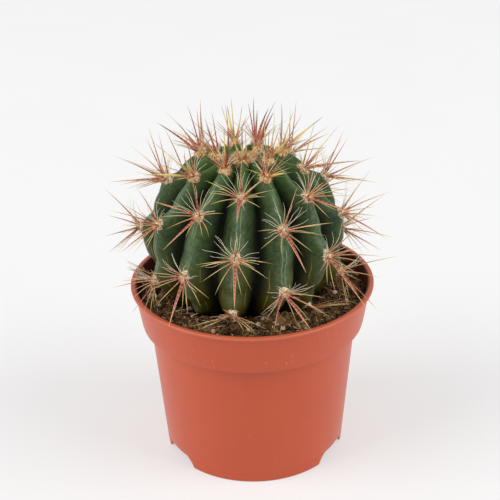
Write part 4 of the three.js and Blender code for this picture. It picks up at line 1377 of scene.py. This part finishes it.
def bristle(areole, spread):
    """Points and radii of one bristle. The spread is its place in the fan, from -1 to 1."""
    grown = 1 - 0.5 * youth(areole["n"])
    turn = spread * BRISTLE_FAN + chance.normal() * FAN_SCATTER
    rise = LOWEST_RISE + RISE_SCATTER * chance.random() + YOUNG_RISE * youth(areole["n"])
    length = BRISTLE_LENGTH - FAN_END_SHORTER * abs(spread) + LENGTH_SCATTER * chance.normal()
    length = max(SHORTEST_BRISTLE, length * grown)
    across = areole["up"] * math.cos(turn * DEG) + areole["right"] * math.sin(turn * DEG)
    way = math.cos(rise * DEG) * across + math.sin(rise * DEG) * areole["out"]
    start = areole["at"] + areole["out"] * FOOT_LIFT + across * FOOT_RING
    t = np.linspace(0, 1, BRISTLE_POINTS)[:, None]
    phase, beats = chance.random() * FULL_TURN, 0.4 + 0.8 * chance.random()
    sway = BRISTLE_SWAY * length * t * np.sin(phase + beats * FULL_TURN * t)
    arch = BRISTLE_ARCH * length * np.sin(math.pi * t)
    points = start + way * length * t + np.cross(way, areole["out"]) * sway
    return points + areole["out"] * arch, BRISTLE_RADIUS * (1 - 0.7 * t[:, 0])


def bristle_lines():
    """The fans of all areoles."""
    lines = Lines()
    for areole in FRAMES:
        n = areole["n"]
        count = BRISTLES if n >= CROWN_AREOLES else CROWN_BRISTLES
        if n >= AREOLES - OLDEST:
            count = OLD_BRISTLES
        for i in range(count):
            points, radii = bristle(areole, (i + 0.5) / count * 2 - 1)
            lines.add(points, radii, youth(n), chance.random(), 1.0)
    return lines


bristles = bristle_lines().build("bristles", shafts, horn.material, flatness=1.0, sides=4)
finish_piece(bristles, "spines")

# %% [markdown]
# ## Felt of the areoles and wool of the crown
#
# Each areole is a pad of short dense hair. In the crown the pads are still so close that their
# wool runs together. Hair curves would look well but are dropped by an export. So a low mound
# gives the mass, and a geometry tree sets short bent hairs all over it, each one a thin shaft
# with a few faces only, because thousands are needed. Both keep a tone for the paint.

# %% Felt colour
felt = Finish("areole_felt", **{"Specular IOR Level": 0.2, "Sheen Weight": 0.25,
                                "Sheen Roughness": 0.5})
felt_young, hair_tone = felt.attribute("young"), felt.attribute("tone")
matted = felt.noise(0.8, 4.0, 0.65)
pale = felt.mix(matted.between(0.40, 0.54), srgb(132, 66, 44), srgb(248, 226, 190))
golden = felt.mix(matted.between(0.42, 0.58), srgb(164, 100, 50), srgb(250, 218, 154))
coat = felt.mix(felt_young.between(0.1, 0.6), pale, golden)
coat = felt.mix(hair_tone * 0.3, coat, srgb(240, 214, 172))
felt.paint(Base_Color=coat, Roughness=0.85 + matted * 0.1)
felt.bump(matted, 0.25)
print("felt mixed")

# %% The mounds of felt
MOUND_RINGS, MOUND_COLUMNS, FELT_SUNK, MOUND_FOOT = 7, 20, 0.2, 0.6
FELT_SIZE, YOUNG_NARROWER, FELT_HEIGHT, YOUNG_HIGHER = 1.16, 0.08, 0.88, 0.1


def felt_mound(areole):
    """A low dome that follows the skin round an areole."""
    n = areole["n"]
    size = cushion_size(n) * (FELT_SIZE - YOUNG_NARROWER * youth(n))
    width, length = CUSHION_WIDTH * size, CUSHION_LENGTH * size
    height = CUSHION_HEIGHT * (FELT_HEIGHT + YOUNG_HIGHER * youth(n))
    turn = np.arange(MOUND_COLUMNS) * 2 * math.pi / MOUND_COLUMNS
    bumps = 1 + 0.10 * np.sin(3 * turn + n) + 0.06 * np.sin(5 * turn + 2 * n)

    def ring(part, lift):
        """A ring on the skin, at a part of the pad's size, lifted off it."""
        down = part * length * np.cos(turn) * bumps
        across = part * width * np.sin(turn) * bumps
        radius = crest_at(areole["arc"] + down)[0]
        azimuth = crest_azimuth(rib_of(n), areole["arc"] + down) + across / radius
        return stem_point(areole["arc"] + down, azimuth, lift)

    parts = np.linspace(0, 1, MOUND_RINGS + 1)[1:]
    rings = [ring(p, height * math.sqrt(max(0, 1 - p * p)) - FELT_SUNK) for p in parts]
    rings.append(ring(0.7, -MOUND_FOOT))
    middle = ring(0.0, 0.0)[0]
    return closed_rings(rings, middle + areole["out"] * (height - FELT_SUNK),
                        middle - areole["out"] * MOUND_FOOT)


def felt_pads(name, areoles):
    """The mounds of some areoles as one object."""
    points, faces, owner = joined([felt_mound(areole) for areole in areoles])
    young = [youth(areoles[number]["n"]) for number in owner]
    values = {"young": young, "tone": np.zeros(len(points))}
    return new_object(name, points, faces, felt.material, values=values)


print("points in a felt pad:", len(felt_mound(FRAMES[0])[0]))

# %% The tree that sets hairs on a surface
def hair_graph():
    """A surface goes in, and comes out with short bent hairs all over it."""
    graph, source = geometry_graph("set_hairs", {
        "Density": 4.0e6, "Length": 1.0, "Thickness": 0.05, "Lean": 0.7, "Seed": 5})
    bent = graph.add("GeometryNodeCurveQuadraticBezier", None,
                     {"Resolution": 3, "Start": (0, 0, -0.15), "Middle": (0.05, 0, 0.55),
                      "End": (0.5, 0, 0.95)})
    part = graph.add("GeometryNodeSplineParameter", out="Factor")
    ring = graph.add("GeometryNodeCurvePrimitiveCircle", {"mode": "RADIUS"},
                     {"Resolution": 3, "Radius": source.out("Thickness")})
    hair = graph.add("GeometryNodeCurveToMesh", None,
                     {"Curve": bent, "Profile Curve": ring, "Scale": 1 - part * 0.8})
    spread = scattered(graph, source)
    standing = graph.add("GeometryNodeInstanceOnPoints", None,
                         {"Points": spread, "Instance": hair, "Rotation": spread.out("Rotation")})
    lean = graph.add("ShaderNodeCombineXYZ", None,
                     {0: source.out("Lean"), 1: source.out("Lean"), 2: 1.0})
    turn = random_turn(graph, (-1.0, -1.0, -FULL_TURN / 2), (1.0, 1.0, FULL_TURN / 2),
                       source.out("Seed"))
    leaning = graph.add("GeometryNodeRotateInstances", None,
                        {"Instances": standing, "Rotation": graph.vector("MULTIPLY", turn, lean)})
    size = random_value(graph, 0.55, 1.25, 9) * source.out("Length") * MM
    sized = graph.add("GeometryNodeScaleInstances", None, {"Instances": leaning, "Scale": size})
    coated = toned(graph, sized, 21)
    both = graph.add("GeometryNodeJoinGeometry")
    graph.tree.links.new(coated.socket, both.node.inputs[0])
    graph.tree.links.new(source.socket, both.node.inputs[0])
    close_graph(graph, both, felt.material)
    return graph


hairs = hair_graph()
print("hair tree:", len(hairs.tree.nodes), "nodes")

# %% Felt pads with their hair
for name, chosen, slot in (("felt_pads", FRAMES[YOUNG_LIMIT:], "spines"),
                           ("young_felt_pads", FRAMES[CROWN_AREOLES:YOUNG_LIMIT], "young_spines"),
                           ("crown_felt_pads", FRAMES[:CROWN_AREOLES], "crown")):
    pads = felt_pads(name, chosen)
    apply_graph(pads, hairs, felt.material, density=2.6e6, length=1.3, thickness=0.055)
    finish_piece(pads, slot)

# %% The crown's wool
WOOL_RINGS, WOOL_COLUMNS, WOOL_UNDER, WOOL_LOWEST, WOOL_YOUNG = 12, 78, 6.0, 7, 0.45
WOOL_EDGE_LOWER, WOOL_WAVE = 0.6, 0.35


def crown_mound():
    """A woolly mound in the sunken crown. The ribs' tops stand out of it at its edge."""
    turn = np.arange(WOOL_COLUMNS) * 2 * math.pi / WOOL_COLUMNS
    wavy = 1 + 0.05 * np.sin(5 * turn + 1) + 0.04 * np.sin(8 * turn)
    rings = []
    for part in np.linspace(0, 1, WOOL_RINGS + 1)[1:]:
        drop = (WOOL_EDGE - WOOL_MIDDLE + WOOL_EDGE_LOWER) * part ** 2
        wave = WOOL_WAVE * np.sin(6 * turn + 9 * part) * part * (1 - part)
        height = CROWN_TOP - WOOL_MIDDLE - drop + wave
        rings.append(place(part * WOOL_RADIUS * wavy, turn, height))
    rings.append(place(WOOL_RADIUS * 0.9 * wavy, turn, CROWN_TOP - WOOL_UNDER + 0 * turn))
    low = np.array([STEM_X, axis_y(CROWN_TOP), CROWN_TOP - WOOL_LOWEST])
    return closed_rings(rings, low + (0, 0, WOOL_LOWEST - WOOL_MIDDLE), low)


points, faces = crown_mound()
values = {"young": np.full(len(points), WOOL_YOUNG), "tone": np.zeros(len(points))}
wool = new_object("crown_wool", points, faces, felt.material, values=values)
apply_graph(wool, hairs, felt.material, density=4.0e6, length=1.7, thickness=0.05, lean=1.0)
finish_piece(wool, "crown")

# %% [markdown]
# ## The soil
#
# Potting mix is crumbs of peat stuck together in clods, with bark fibres, sand and grit. The
# bed is one closed plug whose top is roughened in code, with noise in three sizes. Crumbs,
# fibres and stones are set on it by geometry trees, so their number and size can be changed.

# %% Peat colour
peat = Finish("peat", **{"Specular IOR Level": 0.12})
clods, crumbs_tone = peat.noise(3.2, 5.0, 0.62), peat.noise(0.7, 4.0, 0.7)
own_tone = peat.attribute("tone")
dark = peat.mix(clods.between(0.42, 0.58), srgb(16, 10, 6), srgb(86, 62, 38))
dark = peat.mix(crumbs_tone.between(0.5, 0.66) * 0.65, dark, srgb(152, 116, 80))
dark = peat.mix(own_tone.between(0.3, 1.0) * 0.7, dark, srgb(158, 120, 80))
peat.paint(Base_Color=dark, Roughness=0.88 + clods * 0.1)
peat.bump(crumbs_tone, 0.6)
print("peat mixed")

# %% Rough ground
WAVES = 14
ROUGHNESS = ((0.9, 9, 1), (0.55, 4, 2), (0.3, 1.9, 3))
FURROW_START, FURROW_WIDTH, FURROW_SINK = 41.5, 7, 5.5
CALM_RADIUS, CALM_WIDTH = 57, 4


def wave_noise(x, y, size, seed):
    """Smooth repeatable roughness from -1 to 1, as a sum of turned waves."""
    chance = np.random.default_rng(seed)
    total = 0.0
    for _ in range(WAVES):
        turn, phase = chance.random() * FULL_TURN, chance.random() * FULL_TURN
        stretch = size * (0.7 + 0.8 * chance.random())
        along = x * math.cos(turn) + y * math.sin(turn)
        total = total + np.sin(along * FULL_TURN / stretch + phase)
    return total / WAVES ** 0.5 / 1.6


def ground_height(x, y):
    """The soil's own top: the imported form, roughened, and sunk in the furrows of the stem."""
    radius, azimuth = np.hypot(x, y), np.arctan2(x, -y)
    height = soil_top(radius, azimuth)
    rough = sum(depth * wave_noise(x, y, size, seed) for depth, size, seed in ROUGHNESS)
    from_stem = np.hypot(x - STEM_X, y - axis_y(height))
    inward = np.clip((FURROW_START - from_stem) / FURROW_WIDTH, 0, 1)
    calm = np.clip((CALM_RADIUS - radius) / CALM_WIDTH, 0.25, 1)
    return height + rough * calm - FURROW_SINK * inward ** 1.3


print("ground in front of the stem:", round(float(ground_height(0.0, -50.0)), 2), "mm")

# %% The soil bed
STEM_HOLE = ((9, 65.7), (16, 67), (25, 74), (31, 79.5))
HOLE_FLOOR, HOLE_EDGE, TOP_RINGS, SOIL_COLUMNS = 65.7, 32, 44, 240


def soil_mesh():
    """Rings from the hole under the stem outward over the top, and down along the wall."""
    turn = np.arange(SOIL_COLUMNS) * 2 * math.pi / SOIL_COLUMNS
    wall = collar_radius(SOIL_AT_WALL) - WALL - 2 * GAP
    middle = np.array([STEM_X, axis_y(SOIL_LINE)])

    def circle(radius, centre, z=None):
        """A ring at one level, or on the rough top where no level is given."""
        x = centre[0] + radius * np.sin(turn)
        y = centre[1] - radius * np.cos(turn)
        return np.stack([x, y, ground_height(x, y) if z is None else np.full(len(turn), z)], -1)

    rings = [circle(radius, middle, z) for radius, z in STEM_HOLE]
    for part in np.linspace(0, 1, TOP_RINGS):
        rings.append(circle(HOLE_EDGE + (wall - HOLE_EDGE) * part, middle * (1 - part)))
    step = body_radius(COLLAR_BASE) - WALL - 3 * GAP
    low = body_radius(FLOOR_HEIGHT) - WALL
    tail = ((COLLAR_FOOT_RADIUS - WALL - 3 * GAP, COLLAR_BASE + WALL + 2 * GAP),
            (step, COLLAR_BASE - 0.4), (low - 3 * GAP, FLOOR_HEIGHT + 1 + GAP),
            (low - 4, FLOOR_HEIGHT + GAP))
    rings += [circle(radius, (0, 0), z) for radius, z in tail]
    return rings, closed_rings(rings, (STEM_X, axis_y(ROOT_TIP), HOLE_FLOOR),
                               (0, 0, FLOOR_HEIGHT + GAP))


soil_rings, (points, faces) = soil_mesh()
soil = new_object("soil_bed", points, faces, peat.material,
                  values={"tone": np.zeros(len(points))})
finish_piece(soil, "soil", "soil")

# %% [markdown]
# ## Crumbs, fibres and grit
#
# Thousands of grains could be placed one by one in a loop, but then none could be changed
# later. One tree scatters any small shape over the open ground instead. The shape is made in
# the tree: a ball of few faces, drawn out by the input Long and pressed by Flat. Each copy is
# turned and sized at random and gets a tone, and noise then pushes its corners, so that no two
# are alike. The same tree gives crumbs, clumps, fibres and grit, each with inputs of its own.

# %% The tree that scatters lumps
def lump_graph(name, finish):
    """A sheet goes in, and rough lumps come out where it was."""
    graph, source = geometry_graph(name, {
        "Density": 1.0e6, "Size": 0.7, "Spread": 0.4, "Long": 1.0, "Flat": 0.7,
        "Roughness": 0.35, "Detail": 1, "Seed": 1})
    ball = graph.add("GeometryNodeMeshIcoSphere", None,
                     {"Radius": 1.0, "Subdivisions": source.out("Detail")})
    form = graph.add("ShaderNodeCombineXYZ", None,
                     {0: source.out("Long"), 1: 1.0, 2: source.out("Flat")})
    shaped = graph.add("GeometryNodeTransform", None, {"Geometry": ball, "Scale": form})
    turn = random_turn(graph, (-0.5, -0.5, 0.0), (0.5, 0.5, FULL_TURN), source.out("Seed"))
    placed = graph.add("GeometryNodeInstanceOnPoints", None,
                       {"Points": scattered(graph, source), "Instance": shaped,
                        "Rotation": turn})
    chance = random_value(graph, 0.0, 1.0, 7)
    size = source.out("Size") * (1 + (chance * chance * 2 - 0.7) * source.out("Spread")) * MM
    sized = graph.add("GeometryNodeScaleInstances", None, {"Instances": placed, "Scale": size})
    real = graph.add("GeometryNodeRealizeInstances", None, {"Geometry": toned(graph, sized, 13)})
    position = graph.add("GeometryNodeInputPosition")
    field = graph.add("ShaderNodeTexNoise", None, {"Vector": position, "Scale": 900.0},
                      out="Color")
    centred = graph.vector("SUBTRACT", field, (0.5, 0.5, 0.5))
    push = source.out("Roughness") * source.out("Size") * 2 * MM
    rough = graph.add("GeometryNodeSetPosition", None,
                      {"Geometry": real, "Offset": graph.scaled(centred, push)})
    close_graph(graph, rough, finish.material)
    return graph


SEEN_FROM, SEEN_TO = 37.0, 55.2


def open_ground(name, inner, outer):
    """The part of the soil's top that can be seen, as a sheet to scatter on."""
    sheet = soil_rings[len(STEM_HOLE):len(STEM_HOLE) + TOP_RINGS]
    points = np.concatenate(sheet)
    radius = np.hypot(points[:, 0], points[:, 1])
    near = np.hypot(points[:, 0] - STEM_X, points[:, 1])
    keep = (radius < outer) & (near > inner)
    faces = [face for face in ring_faces(len(sheet), SOIL_COLUMNS) if keep[face].all()]
    return new_object(name, points, faces)


def scatter(name, graph, finish, inner=SEEN_FROM, outer=SEEN_TO, **inputs):
    """Lumps of one sort over the open ground, as one piece."""
    sheet = open_ground(name, inner, outer)
    finish_piece(apply_graph(sheet, graph, finish.material, **inputs), "soil")


print("one tree can scatter crumbs, clumps, fibres and grit")

# %% Crumbs of peat
crumb_tree = lump_graph("scatter_crumbs", peat)
scatter("peat_crumbs", crumb_tree, peat, inner=34.0, density=1.1e6, size=0.55, spread=0.8,
        long=1.3, flat=0.7, roughness=0.5, seed=4)
scatter("peat_clumps", crumb_tree, peat, inner=35.0, outer=54.5, density=2.8e4, size=1.5,
        spread=0.5, long=1.3, flat=0.8, roughness=1.1, detail=3, seed=31)

# %% Bark fibres
fibre = Finish("bark_fibre", **{"Specular IOR Level": 0.25})
fibre_tone, fibre_streak = fibre.attribute("tone"), fibre.noise(0.6, 3.0)
bark = fibre.mix(fibre_tone * 0.8 + fibre_streak * 0.2, srgb(74, 50, 32), srgb(206, 170, 124))
fibre.paint(Base_Color=bark, Roughness=0.8 + fibre_streak * 0.15)
fibre.bump(fibre_streak, 0.2)
scatter("bark_fibres", lump_graph("scatter_fibres", fibre), fibre, density=2.4e5, size=0.26,
        spread=0.6, long=8.0, flat=0.7, roughness=0.9, seed=8)

# %% Grit and small stones
stone = Finish("grit", **{"Specular IOR Level": 0.35})
stone_tone, stone_cloud = stone.attribute("tone"), stone.noise(0.9, 4.0)
STONE_STOPS = [(0.0, srgb(140, 112, 82)), (0.35, srgb(196, 166, 126)),
               (0.6, srgb(204, 168, 140)), (0.8, srgb(176, 160, 138)),
               (1.0, srgb(226, 206, 170))]
stone_shade = stone.add("ShaderNodeValToRGB", {"stops": STONE_STOPS}, {"Fac": stone_tone})
stone_shade = stone.mix(stone_cloud.between(0.45, 0.75) * 0.5, stone_shade, srgb(120, 96, 72))
stone.paint(Base_Color=stone_shade, Roughness=0.6 + stone_cloud * 0.25)
stone.bump(stone_cloud, 0.25)
scatter("grit", lump_graph("scatter_grit", stone), stone, inner=38.0, density=4.2e4, size=0.42,
        spread=1.0, long=1.25, flat=0.8, roughness=0.45, detail=2, seed=15)

# %% [markdown]
# ## Stones and shed bristles
#
# The largest stones catch the eye, so they lie where the photograph shows them. A tree can't
# scatter at chosen places, so each gets a pixel: the line of sight through it is followed to the
# soil. A stone is a small globe, pressed and dented. The bristles that the plant has shed are
# the same thin lines as before, laid on the lumps of the soil.

# %% Where a line of sight meets the soil
NEAREST_GROUND, FARTHEST_GROUND, HALVINGS = 480.0, 700.0, 40


def ground_at_pixel(x, y):
    """Where the line of sight through a pixel meets the soil, found by halving a distance."""
    ray = pixel_ray(x, y)
    low, high = NEAREST_GROUND, FARTHEST_GROUND
    for _ in range(HALVINGS):
        middle = (low + high) / 2
        p = EYE + ray * middle
        if p[2] > ground_height(p[0], p[1]):
            low = middle
        else:
            high = middle
    return EYE + ray * low


print("soil seen at pixel 250, 320:", [round(float(v), 1) for v in ground_at_pixel(250, 320)])

# %% Stones that the photograph shows
# pixels across, pixels down, size in mm
STONES = [(151, 298, 2.2), (295, 311, 2.4), (346, 302, 1.7), (331, 274, 1.5), (246, 315, 1.3),
          (213, 332, 1.3), (207, 327, 0.9), (277, 324, 1.5), (283, 329, 1.2), (258, 325, 1.3),
          (190, 309, 1.5), (334, 293, 1.3), (323, 262, 1.3), (235, 322, 0.9), (160, 306, 1.1)]
PEBBLE_COLUMNS, PEBBLE_ROWS = 14, 8


def pebble(middle, size, chance):
    """A worn stone: a small globe, pressed at random and dented by two waves."""
    turn = np.arange(PEBBLE_COLUMNS) * 2 * math.pi / PEBBLE_COLUMNS
    press = size * (0.8 + 0.4 * chance.random(3)) * (1, 1, 0.8)
    phases = chance.random(6) * FULL_TURN
    rings = []
    for t in (np.arange(PEBBLE_ROWS) + 0.5) / PEBBLE_ROWS * math.pi:
        dent = 1 + 0.10 * np.sin(2 * turn + 3 * t + phases[0])
        dent = dent + 0.07 * np.sin(3 * turn - 2 * t + phases[1])
        ring = np.stack([np.sin(t) * np.sin(turn), -np.sin(t) * np.cos(turn),
                         np.full(PEBBLE_COLUMNS, math.cos(t))], -1)
        rings.append(ring * dent[:, None] * press + middle)
    pole = press * (0, 0, 1)
    return closed_rings(rings, middle + pole, middle - pole)


def pebbles():
    """The stones as one object, each set a third into the ground and with its own tone."""
    chance = np.random.default_rng(23)
    shapes, tones = [], []
    for x, y, size in STONES:
        middle = ground_at_pixel(x, y) + (0, 0, size * 0.25)
        shapes.append(pebble(middle, size, chance))
        tones.append(chance.random())
    points, faces, owner = joined(shapes)
    return new_object("pebbles", points, faces, stone.material,
                      values={"tone": np.array(tones)[owner]})


finish_piece(pebbles(), "soil")

# %% Shed bristles on the soil
# pixels across, pixels down, length in mm, turn in degrees
SHED = [(213, 319, 6, 100), (218, 317, 5, 60), (219, 321, 9, -25), (222, 316, 8, 15),
        (182, 312, 6, 10), (262, 321, 7, 160), (305, 322, 6, 35), (340, 299, 6, 80)]
SHED_POINTS, SHED_LIFT, SHED_ARCH = 9, 0.5, 0.8


def shed_bristles():
    """Dropped bristles lie across the soil, resting on its lumps."""
    chance = np.random.default_rng(57)
    lines = Lines()
    t = np.linspace(-0.5, 0.5, SHED_POINTS)
    radii = BRISTLE_RADIUS * (1 - 0.6 * np.linspace(0, 1, SHED_POINTS))
    for x, y, length, degrees in SHED:
        middle = ground_at_pixel(x, y)
        cosine, sine = math.cos(degrees * DEG), math.sin(degrees * DEG)
        bow = 0.12 * length * (chance.random() - 0.5) * np.cos(math.pi * t)
        across = middle[0] + length * t * cosine - bow * sine
        back = middle[1] + length * t * sine + bow * cosine
        top = ground_height(across, back).max() + SHED_LIFT
        lines.add(np.stack([across, back, top + SHED_ARCH * np.cos(math.pi * t)], -1), radii,
                  0.0, 0.5, 1.0)
    return lines


shed = shed_bristles().build("shed_bristles", shafts, horn.material, flatness=1.0, sides=4)
finish_piece(shed, "soil")

# %% [markdown]
# ## Close
#
# The box of the imported part is printed again.

# %% Print the imported box
print("packed box:", CAD_BOX)
